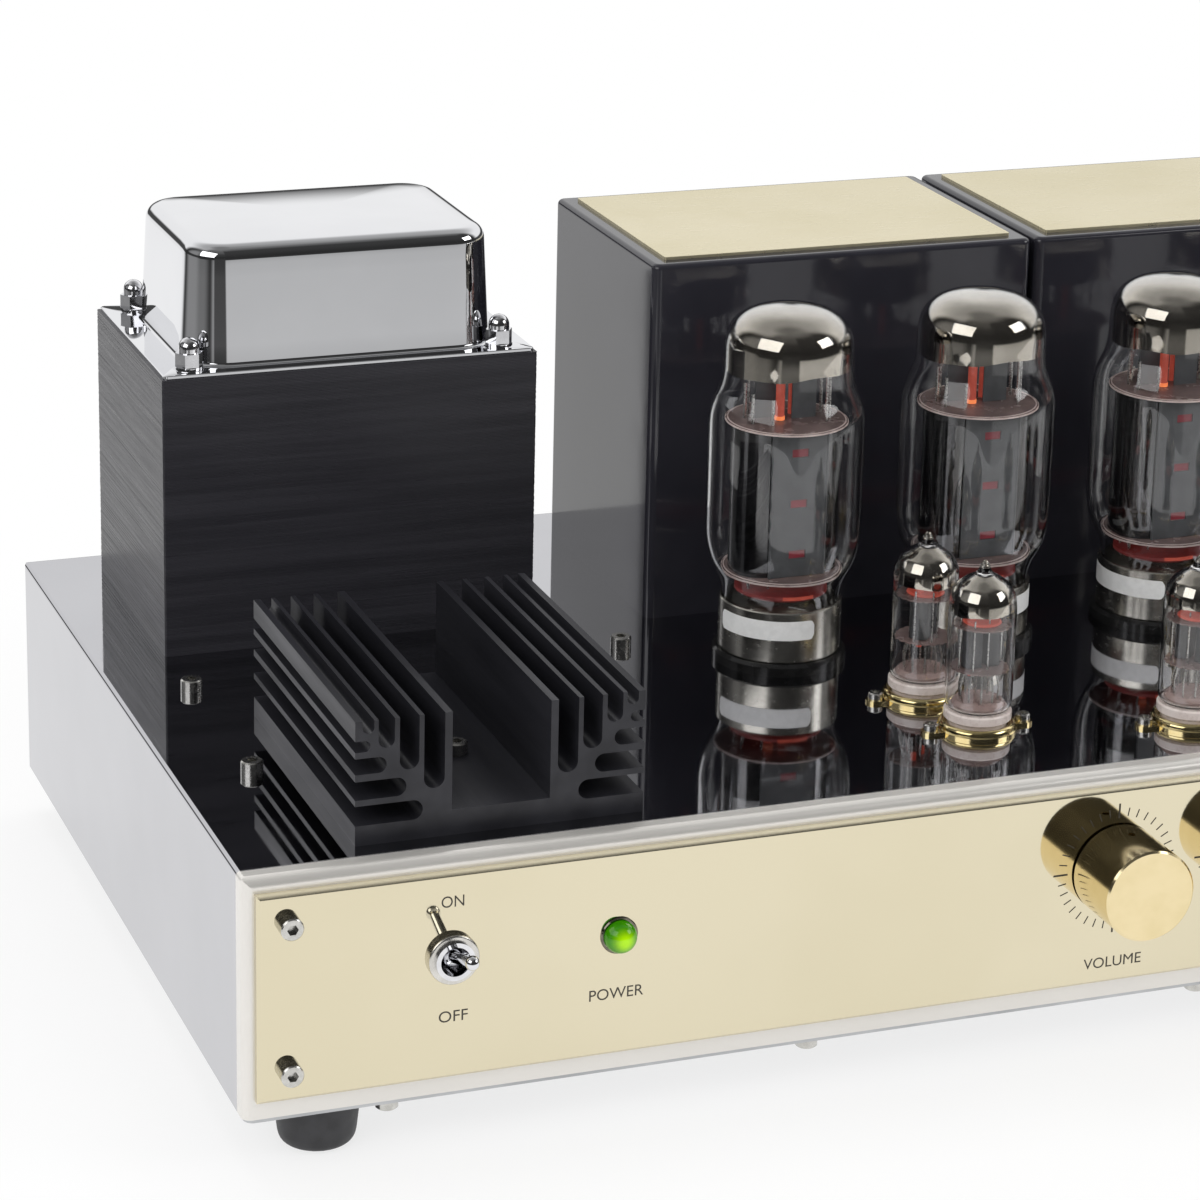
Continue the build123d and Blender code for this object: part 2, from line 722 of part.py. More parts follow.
def comb_slots(outer_x, inward):
    """Rounded slots of one corner comb; inward is +1 where the middle of the sink is towards +X."""
    inner_x = outer_x + inward * comb_width
    with BuildPart() as slots:
        with BuildSketch(facing_front(front_y + sink_y)):
            for start, width, floor in fin_slots_upright:
                length = 2 * (sink_height - floor)
                with Locations((inner_x - inward * (start + width / 2), deck_z + sink_height)):
                    SlotOverall(length, width, rotation=90)
            for start, width, floor in fin_slots_level:
                with Locations((outer_x, deck_z + start + width / 2)):
                    SlotOverall(2 * floor, width)
        extrude(amount=-sink_length)
    return slots.part


left_slots = comb_slots(sink_cx - sink_width / 2, 1)
right_slots = comb_slots(sink_cx + sink_width / 2, -1)
with BuildPart() as heat_sink:
    with BuildSketch(facing_front(front_y + sink_y)):
        with Locations((sink_cx, deck_z + sink_height / 2)):
            Rectangle(sink_width, sink_height)
        with Locations((sink_cx, deck_z + sink_floor + sink_height / 2)):
            Rectangle(sink_width - 2 * comb_width, sink_height, mode=Mode.SUBTRACT)
    extrude(amount=-sink_length)
    add(left_slots, mode=Mode.SUBTRACT)
    add(right_slots, mode=Mode.SUBTRACT)
    with Locations((*sink_screw_at, deck_z)):
        Cylinder(screw_hole_radius, 2 * sink_height, mode=Mode.SUBTRACT)
keep(heat_sink.part, "heat_sink")


# ---------------------------------------------------------------- output tubes
pin_angles = [math.radians(360 / pin_count * (i + 0.5)) for i in range(pin_count)]
pin_ring = [(pin_circle_radius * math.cos(a), pin_circle_radius * math.sin(a)) for a in pin_angles]


def bulb_outline(offset, low, high):
    """Right half of the bulb's section, drawn inwards by offset, closed along the axis."""
    with BuildLine() as outline:
        foot = (bulb_foot_radius - offset, bulb_foot_bottom + low)
        collar = (bulb_foot_radius - offset, base_top)
        belly_low = (bulb_radius - offset, bulb_belly_low)
        belly_high = (bulb_radius - offset, bulb_belly_high)
        neck_low = (bulb_neck_radius - offset, bulb_neck_low)
        neck_high = (bulb_neck_radius - offset, bulb_neck_high)
        crown = (0, bulb_top - high)
        Line((0, foot[1]), foot)
        Line(foot, collar)
        Spline(collar, belly_low, tangents=((0, 1), (0, 1)))
        Line(belly_low, belly_high)
        Spline(belly_high, neck_low, tangents=((0, 1), (0, 1)))
        Line(neck_low, neck_high)
        Spline(neck_high, crown, tangents=((0, 1), (-1, 0)), tangent_scalars=(1.2, 1.4))
        Line(crown, (0, foot[1]))
    return outline.line


def tube_envelope(x):
    with BuildPart() as glass:
        with BuildSketch(Plane.XZ):
            add(bulb_outline(0, 0, 0))
            make_face()
        revolve(axis=Axis.Z)
        with BuildSketch(Plane.XZ):
            add(bulb_outline(glass_wall, glass_wall, glass_wall))
            make_face()
        revolve(axis=Axis.Z, mode=Mode.SUBTRACT)
    return glass.part.moved(Location((x, tube_y, deck_z)))


def tube_base(x):
    with BuildPart() as base:
        with BuildSketch(Plane.XY.offset(base_bottom)):
            Circle(base_radius)
        extrude(amount=base_top - base_bottom)
        chamfer(edges().sort_by(Axis.Z)[-1], base_wall / 2)
        with BuildSketch(Plane.XY.offset(base_bottom + base_floor)):
            Circle(base_radius - base_wall)
        extrude(amount=base_top - base_bottom - base_floor, mode=Mode.SUBTRACT)
        with BuildSketch(Plane.XY.offset(base_bottom)):
            with Locations(*pin_ring):
                Circle(pin_radius)
        extrude(amount=-pin_length)
        with BuildSketch(Plane.XY.offset(base_bottom)):
            Circle(key_radius)
        extrude(amount=-key_length)
    return base.part.moved(Location((x, tube_y, deck_z)))


def tube_electrodes(x):
    """Anode box between two mica discs, its rods standing on the floor of the bulb."""
    floor_z = bulb_foot_bottom + glass_wall
    rod_points = [(sx * rod_spacing, sy * rod_row) for sx in (-1, 0, 1) for sy in (-1, 1)]
    with BuildPart() as mount:
        for z in (mica_low, mica_high):
            with BuildSketch(Plane.XY.offset(z)):
                Circle(mica_radius)
            extrude(amount=mica_thickness)
        with BuildSketch(Plane.XY.offset(mica_low)):
            RectangleRounded(2 * anode_half_width, 2 * anode_half_depth, anode_corner)
            RectangleRounded(2 * (anode_half_width - anode_wall), 2 * (anode_half_depth - anode_wall),
                             anode_corner - anode_wall, mode=Mode.SUBTRACT)
        extrude(amount=mica_high - mica_low)
        with BuildSketch(Plane.XY.offset(floor_z)):
            with Locations(*rod_points):
                Circle(rod_radius)
        extrude(amount=mica_high + mica_thickness - floor_z)
        with BuildSketch(Plane.XY.offset(mica_high)):
            with Locations((-rod_spacing, 0), (rod_spacing, 0)):
                Circle(rod_radius)
        extrude(amount=getter_post_top - mica_high)
        with BuildSketch(Plane.XY.offset(getter_post_top)):
            Circle(rod_spacing + 2 * rod_radius)
            Circle(rod_spacing - 2 * rod_radius, mode=Mode.SUBTRACT)
        extrude(amount=rod_radius)
    return mount.part.moved(Location((x, tube_y, deck_z)))


for number, tube_x in enumerate(tube_xs, start=1):
    keep(tube_envelope(tube_x), f"output_tube_{number}_envelope")
    keep(tube_base(tube_x), f"output_tube_{number}_base")
    keep(tube_electrodes(tube_x), f"output_tube_{number}_electrodes")

with BuildPart() as octal_sockets:
    places = [(x, tube_y) for x in tube_xs]
    with BuildSketch(Plane.XY.offset(deck_z)):
        with Locations(*places):
            Circle(socket_rim_radius)
    extrude(amount=socket_rim_height)
    chamfer(edges().group_by(Axis.Z)[-1], socket_rim_chamfer)
    with BuildSketch(Plane.XY.offset(deck_z)):
        with Locations(*places):
            Circle(socket_body_radius)
    extrude(amount=-socket_body_depth)
    with BuildSketch(Plane.XY.offset(deck_z + socket_rim_height)):
        for x, y in places:
            with Locations(*[(x + dx, y + dy) for dx, dy in pin_ring]):
                Circle(pin_radius + pin_clearance)
    extrude(amount=-(pin_length + socket_hole_extra), mode=Mode.SUBTRACT)
    with BuildSketch(Plane.XY.offset(deck_z + socket_rim_height)):
        with Locations(*places):
            Circle(key_radius + pin_clearance)
    extrude(amount=-(key_length + socket_hole_extra), mode=Mode.SUBTRACT)
keep(octal_sockets.part, "octal_sockets")


# ---------------------------------------------------------------- driver tubes
# Nine pins on a circle with one place of ten left empty
driver_pin_angles = [math.radians(36 * (i + 1)) for i in range(driver_pin_count)]
driver_pin_ring = [(driver_pin_circle_radius * math.cos(a), driver_pin_circle_radius * math.sin(a))
                   for a in driver_pin_angles]


def driver_outline(offset):
    """Right half of a small bulb's section with its pip, drawn inwards by offset."""
    with BuildLine() as outline:
        low = (0, driver_bottom + offset)
        heel = (driver_radius - offset, driver_bottom + offset)
        shoulder = (driver_radius - offset, driver_shoulder)
        crown = (driver_pip_radius - offset, driver_top - offset)
        pip = (0, driver_pip_top - 2 * offset)
        Line(low, heel)
        Line(heel, shoulder)
        Spline(shoulder, crown, tangents=((0, 1), (-1, 0.25)))
        Spline(crown, pip, tangents=((0, 1), (-0.6, 1)))
        Line(pip, low)
    return outline.line


with BuildPart() as driver_bulb:
    with BuildSketch(Plane.XZ):
        add(driver_outline(0))
        make_face()
    revolve(axis=Axis.Z)
    with BuildSketch(Plane.XZ):
        add(driver_outline(glass_wall))
        make_face()
    revolve(axis=Axis.Z, mode=Mode.SUBTRACT)
with BuildPart() as driver_tube_envelopes:
    with Locations(*[(x, y, deck_z) for x, y in driver_points]):
        add(driver_bulb.part)
keep(driver_tube_envelopes.part, "driver_tube_envelopes")

with BuildPart() as driver_mount:
    for z in (driver_mica_low, driver_mica_high):
        with BuildSketch(Plane.XY.offset(z)):
            Circle(driver_mica_radius)
        extrude(amount=mica_thickness)
    with BuildSketch(Plane.XY.offset(driver_mica_low)):
        Circle(driver_anode_radius)
        Circle(driver_anode_radius - anode_wall, mode=Mode.SUBTRACT)
    extrude(amount=driver_mica_high - driver_mica_low)
    with BuildSketch(Plane.XY.offset(driver_bottom + glass_wall)):
        with Locations((-driver_anode_radius / 2, 0), (driver_anode_radius / 2, 0)):
            Circle(rod_radius)
    extrude(amount=driver_mica_low - driver_bottom)
    with BuildSketch(Plane.XY.offset(driver_bottom)):
        with Locations(*driver_pin_ring):
            Circle(driver_pin_radius)
    extrude(amount=-driver_pin_length)
with BuildPart() as driver_tube_electrodes:
    with Locations(*[(x, y, deck_z) for x, y in driver_points]):
        add(driver_mount.part)
keep(driver_tube_electrodes.part, "driver_tube_electrodes")

with BuildPart() as noval_sockets:
    rim_low = deck_z + driver_bottom - ceramic_rim_height
    with BuildSketch(Plane.XY.offset(rim_low)):
        with Locations(*driver_points):
            Circle(ceramic_rim_radius)
    extrude(amount=ceramic_rim_height)
    with BuildSketch(Plane.XY.offset(deck_z - ceramic_depth)):
        with Locations(*driver_points):
            Circle(ceramic_body_radius)
    extrude(amount=rim_low + ceramic_rim_height / 2 - deck_z + ceramic_depth)
    with BuildSketch(Plane.XY.offset(deck_z + driver_bottom)):
        for x, y in driver_points:
            with Locations(*[(x + dx, y + dy) for dx, dy in driver_pin_ring]):
                Circle(driver_pin_radius + driver_pin_clearance)
    extrude(amount=-(driver_pin_length + socket_hole_extra), mode=Mode.SUBTRACT)
keep(noval_sockets.part, "noval_sockets")

with BuildPart() as noval_socket_flanges:
    ears = [(x + s * flange_screw_offset, y) for x, y in driver_points for s in (-1, 1)]
    with BuildSketch(Plane.XY.offset(deck_z)):
        with Locations(*driver_points):
            Circle(flange_ring_radius)
            SlotOverall(2 * (flange_screw_offset + flange_ear_radius), 2 * flange_ear_radius)
    extrude(amount=flange_sheet)
    with BuildSketch(Plane.XY.offset(deck_z)):
        with Locations(*driver_points):
            Circle(flange_ring_radius)
    extrude(amount=flange_ring_height)
    fillet(edges().group_by(Axis.Z)[-1], flange_rounding)
    with BuildSketch(Plane.XY.offset(deck_z)):
        with Locations(*driver_points):
            Circle(ceramic_body_radius + ceramic_gap)
        with Locations(*ears):
            Circle(flange_screw_radius + ceramic_gap)
    extrude(amount=flange_ring_height, mode=Mode.SUBTRACT)
keep(noval_socket_flanges.part, "noval_socket_flanges")

with BuildPart() as noval_flange_screws:
    with BuildSketch(Plane.XY.offset(deck_z + flange_sheet)):
        with Locations(*ears):
            Circle(flange_screw_head_radius)
    extrude(amount=flange_screw_head_height)
    chamfer(edges().group_by(Axis.Z)[-1], screw_chamfer)
    with BuildSketch(Plane.XY.offset(deck_z + flange_sheet + flange_screw_head_height)):
        with Locations(*ears):
            RegularPolygon(flange_screw_socket_width / 2, 6, major_radius=False)
    extrude(amount=-flange_screw_socket_depth, mode=Mode.SUBTRACT)
    with BuildSketch(Plane.XY.offset(deck_z + flange_sheet)):
        with Locations(*ears):
            Circle(flange_screw_radius)
    extrude(amount=-flange_screw_length)
keep(noval_flange_screws.part, "noval_flange_screws")


# ---------------------------------------------------------------- knobs and rotary controls
def control_knob(x):
    with BuildPart() as knob:
        with BuildSketch(facing_front(knob_back_y)):
            with Locations((x, control_z)):
                Circle(knob_radius)
        extrude(amount=knob_length)
        chamfer(edges().group_by(Axis.Y)[0], knob_rounding)
        with BuildSketch(facing_front(knob_back_y)):
            with Locations((x, control_z)):
                Circle(shaft_radius)
        extrude(amount=knob_bore_depth, mode=Mode.SUBTRACT)
        # grub-screw hole in the top of the knob, which is also its pointer
        with BuildSketch(Plane.XY.offset(control_z)):
            with Locations((x, knob_back_y - knob_bore_depth / 2)):
                Circle(grub_hole_radius)
        extrude(amount=knob_radius, mode=Mode.SUBTRACT)
    return knob.part


def control_shaft(x):
    with BuildPart() as shaft:
        with BuildSketch(facing_front(front_y + sheet + control_body_length / 2)):
            with Locations((x, control_z)):
                Circle(shaft_radius)
        extrude(amount=control_body_length / 2 + sheet + panel_thickness + knob_gap + knob_bore_depth)
    return shaft.part


control_names = ("volume", "balance", "tape", "input")
for control, knob_x in zip(control_names, knob_xs):
    keep(control_knob(knob_x), f"{control}_knob")
    keep(control_shaft(knob_x), f"{control}_shaft")

control_places = [(x, control_z) for x in knob_xs]
bushing_front_y = front_y - control_nut_thickness
with BuildPart() as rotary_controls:
    with BuildSketch(facing_front(front_y + sheet + control_body_length)):
        with Locations(*control_places):
            Circle(control_body_radius)
    extrude(amount=control_body_length)
    with BuildSketch(facing_front(front_y + sheet)):
        with Locations(*control_places):
            Circle(bushing_radius)
    extrude(amount=front_y + sheet - bushing_front_y)
    shaft_end_y = front_y + sheet + control_body_length / 2 + shaft_end_gap
    with BuildSketch(facing_front(shaft_end_y)):
        with Locations(*control_places):
            Circle(shaft_radius + shaft_clearance)
    extrude(amount=shaft_end_y - bushing_front_y, mode=Mode.SUBTRACT)
keep(rotary_controls.part, "rotary_controls")

with BuildPart() as control_nuts:
    with BuildSketch(facing_front(front_y)):
        with Locations(*control_places):
            RegularPolygon(control_nut_width / 2, 6, major_radius=False)
            Circle(bushing_radius, mode=Mode.SUBTRACT)
    extrude(amount=control_nut_thickness)
keep(control_nuts.part, "control_nuts")


# ---------------------------------------------------------------- power switch
pivot_y = face_y + pivot_depth
switch_front_y = face_y - switch_bushing_front
with BuildPart() as power_switch_body:
    with BuildSketch(facing_front(front_y + sheet + switch_body_depth)):
        with Locations(switch_at):
            Rectangle(switch_body_width, switch_body_height)
    extrude(amount=switch_body_depth)
    with BuildSketch(facing_front(front_y + sheet)):
        with Locations(switch_at):
            Circle(switch_bushing_radius)
    extrude(amount=front_y + sheet - switch_front_y)
    bore_end_y = pivot_y + lever_tail + lever_ball_radius
    with BuildSketch(facing_front(bore_end_y)):
        with Locations(switch_at):
            Circle(switch_bore_radius)
    extrude(amount=bore_end_y - switch_front_y, mode=Mode.SUBTRACT)
    with Locations(Location((switch_at[0], pivot_y, control_z), (0, 90, 0))):
        Cylinder(pivot_pin_radius + shaft_clearance, 2 * switch_bushing_radius, mode=Mode.SUBTRACT)
keep(power_switch_body.part, "power_switch_body")

# The lever is drawn lying along the plane's normal, tilted up about the pivot's X axis
tilt = math.radians(lever_tilt)
lever_direction = (0, -math.cos(tilt), math.sin(tilt))
lever_plane = Plane(origin=(switch_at[0], pivot_y, control_z), x_dir=(1, 0, 0), z_dir=lever_direction)
with BuildPart() as power_switch_lever:
    with Locations(lever_plane.location):
        Sphere(lever_ball_radius)
    with BuildSketch(lever_plane):
        Circle(lever_root_radius)
    with BuildSketch(lever_plane.offset(lever_length)):
        Circle(lever_neck_radius)
    loft()
    with Locations(lever_plane.offset(lever_length).location):
        Sphere(lever_tip_radius)
    with BuildSketch(lever_plane):
        Circle(lever_neck_radius)
    extrude(amount=-lever_tail)
    with Locations(Location((switch_at[0], pivot_y, control_z), (0, 90, 0))):
        Cylinder(pivot_pin_radius, 2 * (switch_bushing_radius - pivot_pin_inset))
keep(power_switch_lever.part, "power_switch_lever")

with BuildPart() as power_switch_nut:
    with BuildSketch(facing_front(face_y)):
        with Locations(switch_at):
            Circle(switch_nut_radius)
    extrude(amount=switch_nut_thickness)
    fillet(edges().group_by(Axis.Y)[0], switch_nut_rounding)
    with BuildSketch(facing_front(face_y)):
        with Locations(switch_at):
            Circle(switch_bushing_radius)
    extrude(amount=switch_nut_thickness, mode=Mode.SUBTRACT)
keep(power_switch_nut.part, "power_switch_nut")


# ---------------------------------------------------------------- indicator lamp
with BuildPart() as led_bezel:
    bezel_back_y = front_y + sheet + lamp_bezel_tail
    with BuildSketch(facing_front(bezel_back_y)):
        with Locations(lamp_at):
            Circle(lamp_radius + lamp_bezel_wall)
    extrude(amount=bezel_back_y - face_y)
    with BuildSketch(facing_front(face_y)):
        with Locations(lamp_at):
            Circle(lamp_bezel_radius)
    extrude(amount=lamp_bezel_front)
    fillet(edges().group_by(Axis.Y)[0], lamp_bezel_wall)
    with BuildSketch(facing_front(bezel_back_y)):
        with Locations(lamp_at):
            Circle(lamp_radius + lamp_gap)
    extrude(amount=bezel_back_y - face_y + lamp_bezel_front, mode=Mode.SUBTRACT)
keep(led_bezel.part, "led_bezel")

with BuildPart() as led_lens:
    with BuildSketch(facing_front(face_y + lamp_body_length)):
        with Locations(lamp_at):
            Circle(lamp_radius)
    extrude(amount=lamp_body_length)
    with Locations((lamp_at[0], face_y, control_z)):
        Sphere(lamp_radius)
keep(led_lens.part, "led_lens")


# ---------------------------------------------------------------- rear panel
inlet_mirrored = mirrored([inlet_at])
recess_mirrored = [(x, z + inlet_recess_rise) for x, z in inlet_mirrored]
drawer_mirrored = [(x, z - drawer_drop) for x, z in inlet_mirrored]
inlet_face_y = rear_y + inlet_flange_thickness
with BuildPart() as mains_inlet:
    with BuildSketch(facing_rear(rear_y)):
        with Locations(*inlet_mirrored):
            RectangleRounded(inlet_flange_width, inlet_flange_height, inlet_rounding)
    extrude(amount=inlet_flange_thickness)
    with BuildSketch(facing_rear(rear_y - inlet_body_depth)):
        with Locations(*inlet_mirrored):
            Rectangle(inlet_body_width, inlet_body_height)
    extrude(amount=inlet_body_depth)
    with BuildSketch(facing_rear(inlet_face_y)):
        with Locations(*recess_mirrored):
            RectangleRounded(inlet_recess_width, inlet_recess_height, inlet_rounding)
    extrude(amount=-inlet_recess_depth, mode=Mode.SUBTRACT)
    with BuildSketch(facing_rear(inlet_face_y)):
        with Locations(*drawer_mirrored):
            Rectangle(drawer_width + 2 * drawer_clearance, drawer_height + 2 * drawer_clearance)
    extrude(amount=-drawer_length - drawer_clearance, mode=Mode.SUBTRACT)
    # the three contacts stand on the floor of the recess
    with BuildSketch(facing_rear(inlet_face_y - inlet_recess_depth)):
        for x, z in recess_mirrored:
            low_z = z - inlet_pin_stagger
            outer_pins = [(x - inlet_pin_spread, low_z), (x + inlet_pin_spread, low_z)]
            with Locations((x, z + inlet_pin_stagger), *outer_pins):
                Rectangle(inlet_pin_width, inlet_pin_height)
    extrude(amount=inlet_pin_length)
keep(mains_inlet.part, "mains_inlet")

with BuildPart() as fuse_drawer:
    with BuildSketch(facing_rear(inlet_face_y - drawer_length)):
        with Locations(*drawer_mirrored):
            Rectangle(drawer_width, drawer_height)
    extrude(amount=drawer_length)
    with BuildSketch(facing_rear(inlet_face_y + drawer_clearance)):
        with Locations(*drawer_mirrored):
            Rectangle(drawer_width, drawer_height)
    extrude(amount=-drawer_clearance)
    with BuildSketch(facing_rear(inlet_face_y + drawer_clearance)):
        with Locations(*drawer_mirrored):
            RectangleRounded(drawer_face_width, drawer_face_height, drawer_face_corner)
    extrude(amount=drawer_lip)
keep(fuse_drawer.part, "fuse_drawer")

with BuildPart() as rca_sockets:
    sockets = mirrored(rca_points)
    with BuildSketch(facing_rear(rear_y)):
        with Locations(*sockets):
            Circle(rca_flange_radius)
    extrude(amount=rca_flange_thickness)
    with BuildSketch(facing_rear(rear_y)):
        with Locations(*sockets):
            Circle(rca_barrel_radius)
    extrude(amount=rca_barrel_length)
    with BuildSketch(facing_rear(rear_y)):
        with Locations(*sockets):
            Circle(rca_thread_radius)
    extrude(amount=-rca_thread_length)
    with BuildSketch(facing_rear(rear_y + rca_flange_thickness)):
        with Locations(*sockets):
            Circle(rca_bore_radius)
            Circle(rca_core_radius, mode=Mode.SUBTRACT)
    extrude(amount=rca_barrel_length - rca_flange_thickness, mode=Mode.SUBTRACT)
keep(rca_sockets.part, "rca_sockets")

collar_y = rear_y + post_collar_thickness
with BuildPart() as speaker_posts:
    posts = mirrored(post_points)
    with BuildSketch(facing_rear(rear_y)):
        with Locations(*posts):
            Circle(post_collar_radius)
    extrude(amount=post_collar_thickness)
    with BuildSketch(facing_rear(rear_y - post_tail)):
        with Locations(*posts):
            Circle(post_stud_radius)
    extrude(amount=post_tail + post_collar_thickness + post_stud_length)
keep(speaker_posts.part, "speaker_posts")


def post_cap(x, z):
    with BuildPart() as cap:
        with BuildSketch(facing_rear(collar_y + post_cap_gap)):
            with Locations((-x, z)):
                Circle(post_cap_radius)
                with PolarLocations(post_cap_radius, post_flutes):
                    Circle(post_flute_radius, mode=Mode.SUBTRACT)
        extrude(amount=post_cap_length)
        with BuildSketch(facing_rear(collar_y + post_cap_gap)):
            with Locations((-x, z)):
                Circle(post_stud_radius + post_bore_extra)
        extrude(amount=post_stud_length + post_bore_end, mode=Mode.SUBTRACT)
    return cap.part


post_names = ("right_red", "right_black", "left_red", "left_black")
for post, (post_x, post_z) in zip(post_names, post_points):
    keep(post_cap(post_x, post_z), f"{post}_post_cap")


# ---------------------------------------------------------------- power-supply board under the deck
with BuildPart() as circuit_board:
    with BuildSketch(Plane.XY.offset(board_top_z - board_thickness)):
        with Locations((board_cx, board_cy)):
            Rectangle(board_width, board_depth)
        with Locations(*deck_points):
            Circle(screw_hole_radius, mode=Mode.SUBTRACT)
    extrude(amount=board_thickness)
keep(circuit_board.part, "circuit_board")

with BuildPart() as board_standoffs:
    with BuildSketch(Plane.XY.offset(board_top_z)):
        with Locations(*deck_points):
            Circle(standoff_radius)
            Circle(screw_radius, mode=Mode.SUBTRACT)
    extrude(amount=standoff_length)
keep(board_standoffs.part, "board_standoffs")

with BuildPart() as filter_capacitors:
    with BuildSketch(Plane.XY.offset(board_top_z - board_thickness)):
        with Locations((left_x + capacitor_bank_x, board_cy)):
            with GridLocations(capacitor_pitch_x, capacitor_pitch_y, capacitor_columns, capacitor_rows):
                Circle(capacitor_radius)
    extrude(amount=-capacitor_length)
    fillet(edges().group_by(Axis.Z)[0], capacitor_rounding)
keep(filter_capacitors.part, "filter_capacitors")
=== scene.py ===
"""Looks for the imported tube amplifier, in the model's own frame. The front faces -Y.

Lengths are millimetres until a piece is built, and metres in Blender.
"""
import random
from math import copysign, cos, hypot, pi, radians, sin, sqrt, tan

import bmesh
import bpy
from mathutils import Matrix, Vector


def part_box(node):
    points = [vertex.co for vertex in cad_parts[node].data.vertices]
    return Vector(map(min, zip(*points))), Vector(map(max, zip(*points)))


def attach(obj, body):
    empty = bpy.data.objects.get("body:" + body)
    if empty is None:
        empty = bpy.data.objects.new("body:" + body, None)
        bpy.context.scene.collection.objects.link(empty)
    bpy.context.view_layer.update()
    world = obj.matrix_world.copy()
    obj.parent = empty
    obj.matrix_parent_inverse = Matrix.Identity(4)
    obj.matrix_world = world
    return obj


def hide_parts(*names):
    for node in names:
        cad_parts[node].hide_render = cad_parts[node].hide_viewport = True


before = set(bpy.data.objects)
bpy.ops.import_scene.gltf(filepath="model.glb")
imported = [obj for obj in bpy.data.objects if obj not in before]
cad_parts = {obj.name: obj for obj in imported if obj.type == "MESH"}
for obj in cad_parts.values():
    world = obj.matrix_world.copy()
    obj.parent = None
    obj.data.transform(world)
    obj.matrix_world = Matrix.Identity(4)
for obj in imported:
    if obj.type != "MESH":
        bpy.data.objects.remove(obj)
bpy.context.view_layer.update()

MM = 0.001
CHASSIS = "chassis"
FACING_FRONT = Matrix.Rotation(radians(90), 3, "X")  # local z to the front, local y up
EVEN = (1, 1, 1)  # a pattern without a grain


# ---- places from the frame
def box(node):
    """Lowest, highest and middle point of a node."""
    lo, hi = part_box(node)
    return lo / MM, hi / MM, (lo + hi) / 2 / MM


def widen(corners, lo, hi):
    """Widens a [lowest, highest] pair of points to take in another."""
    for i in range(3):
        corners[0][i] = min(corners[0][i], lo[i])
        corners[1][i] = max(corners[1][i], hi[i])


def islands(node, grid=0.02, apart=3.0):
    """[lowest, highest] of each solid of a node, from left to right.

    Vertices in one cell of the grid are one. Skins nearer than apart in plan are one solid.
    """
    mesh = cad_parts[node].data
    roots, skins = {}, {}

    def root(key):
        while roots[key] != key:
            roots[key] = roots[roots[key]]
            key = roots[key]
        return key

    keys = [tuple(round(c / MM / grid) for c in v.co) for v in mesh.vertices]
    for key in keys:
        roots.setdefault(key, key)
    for edge in mesh.edges:
        a, b = (root(keys[i]) for i in edge.vertices)
        if a != b:
            roots[a] = b
    for key, v in zip(keys, mesh.vertices):
        p = v.co / MM
        widen(skins.setdefault(root(key), [p.copy(), p.copy()]), p, p)
    solids = []
    for lo, hi in sorted(skins.values(), key=lambda pair: pair[0].x - pair[1].x):
        for other in solids:
            if ((other[0] + other[1]) / 2 - (lo + hi) / 2).xy.length < apart:
                widen(other, lo, hi)
                break
        else:
            solids.append([lo, hi])
    return sorted(solids, key=lambda pair: pair[0].x + pair[1].x)


DECK_Z = box("left_output_transformer_can")[0].z
DRIVERS = islands("driver_tube_envelopes")

# ---- material tools
M = {}
DRIFT = (0.3, 0.7)  # the part of a noise's range that its drift uses


def parts_of(mat):
    tree = mat.node_tree
    return tree, tree.nodes["Principled BSDF"], tree.nodes["Material Output"]


def new_material(name, color, rough, metallic=0.0, **sockets):
    """A material with one Principled shader, kept in M under its name."""
    mat = bpy.data.materials.new(name)
    mat.use_nodes = True
    shader = parts_of(mat)[1]
    sockets = {"base_color": color, "roughness": rough, "metallic": metallic, **sockets}
    for label, value in sockets.items():
        label = label.replace("_", " ").title().replace("Ior", "IOR")
        shader.inputs[label].default_value = (*value, 1) if isinstance(value, tuple) else value
    M[name] = mat
    return mat


def coordinates(mat, stretch=EVEN, offset=(0, 0, 0)):
    """Object coordinates in millimetres, stretched and then moved."""
    tree = mat.node_tree
    place = tree.nodes.new("ShaderNodeTexCoord")
    mapping = tree.nodes.new("ShaderNodeMapping")
    mapping.inputs["Scale"].default_value = [s / MM for s in stretch]
    mapping.inputs["Location"].default_value = offset
    tree.links.new(place.outputs["Object"], mapping.inputs["Vector"])
    return mapping.outputs["Vector"]


def along(mat, axis):
    """Object coordinate along X, Y or Z."""
    node = mat.node_tree.nodes.new("ShaderNodeSeparateXYZ")
    mat.node_tree.links.new(coordinates(mat), node.inputs[0])
    return node.outputs[axis]


def distance(mat, stretch, offset=(0, 0, 0)):
    """Distance from the origin of stretched and moved coordinates."""
    node = mat.node_tree.nodes.new("ShaderNodeVectorMath")
    node.operation = "LENGTH"
    mat.node_tree.links.new(coordinates(mat, stretch, offset), node.inputs[0])
    return node.outputs["Value"]


def noise(mat, size, stretch=EVEN, detail=3.0):
    """A noise whose features are size millimetres across."""
    node = mat.node_tree.nodes.new("ShaderNodeTexNoise")
    node.inputs["Scale"].default_value = 1 / size
    node.inputs["Detail"].default_value = detail
    node.inputs["Roughness"].default_value = 0.55
    mat.node_tree.links.new(coordinates(mat, stretch), node.inputs["Vector"])
    return node.outputs["Fac"]


def ramp(tree, value, *stops, interpolation="EASE"):
    """A colour ramp: stops are (position, colour)."""
    node = tree.nodes.new("ShaderNodeValToRGB")
    node.color_ramp.interpolation = interpolation
    elements = node.color_ramp.elements
    while len(elements) < len(stops):
        elements.new(0.5)
    for element, (position, color) in zip(elements, stops):
        element.position = position
        element.color = (*color, 1)
    tree.links.new(value, node.inputs["Fac"])
    return node.outputs["Color"]


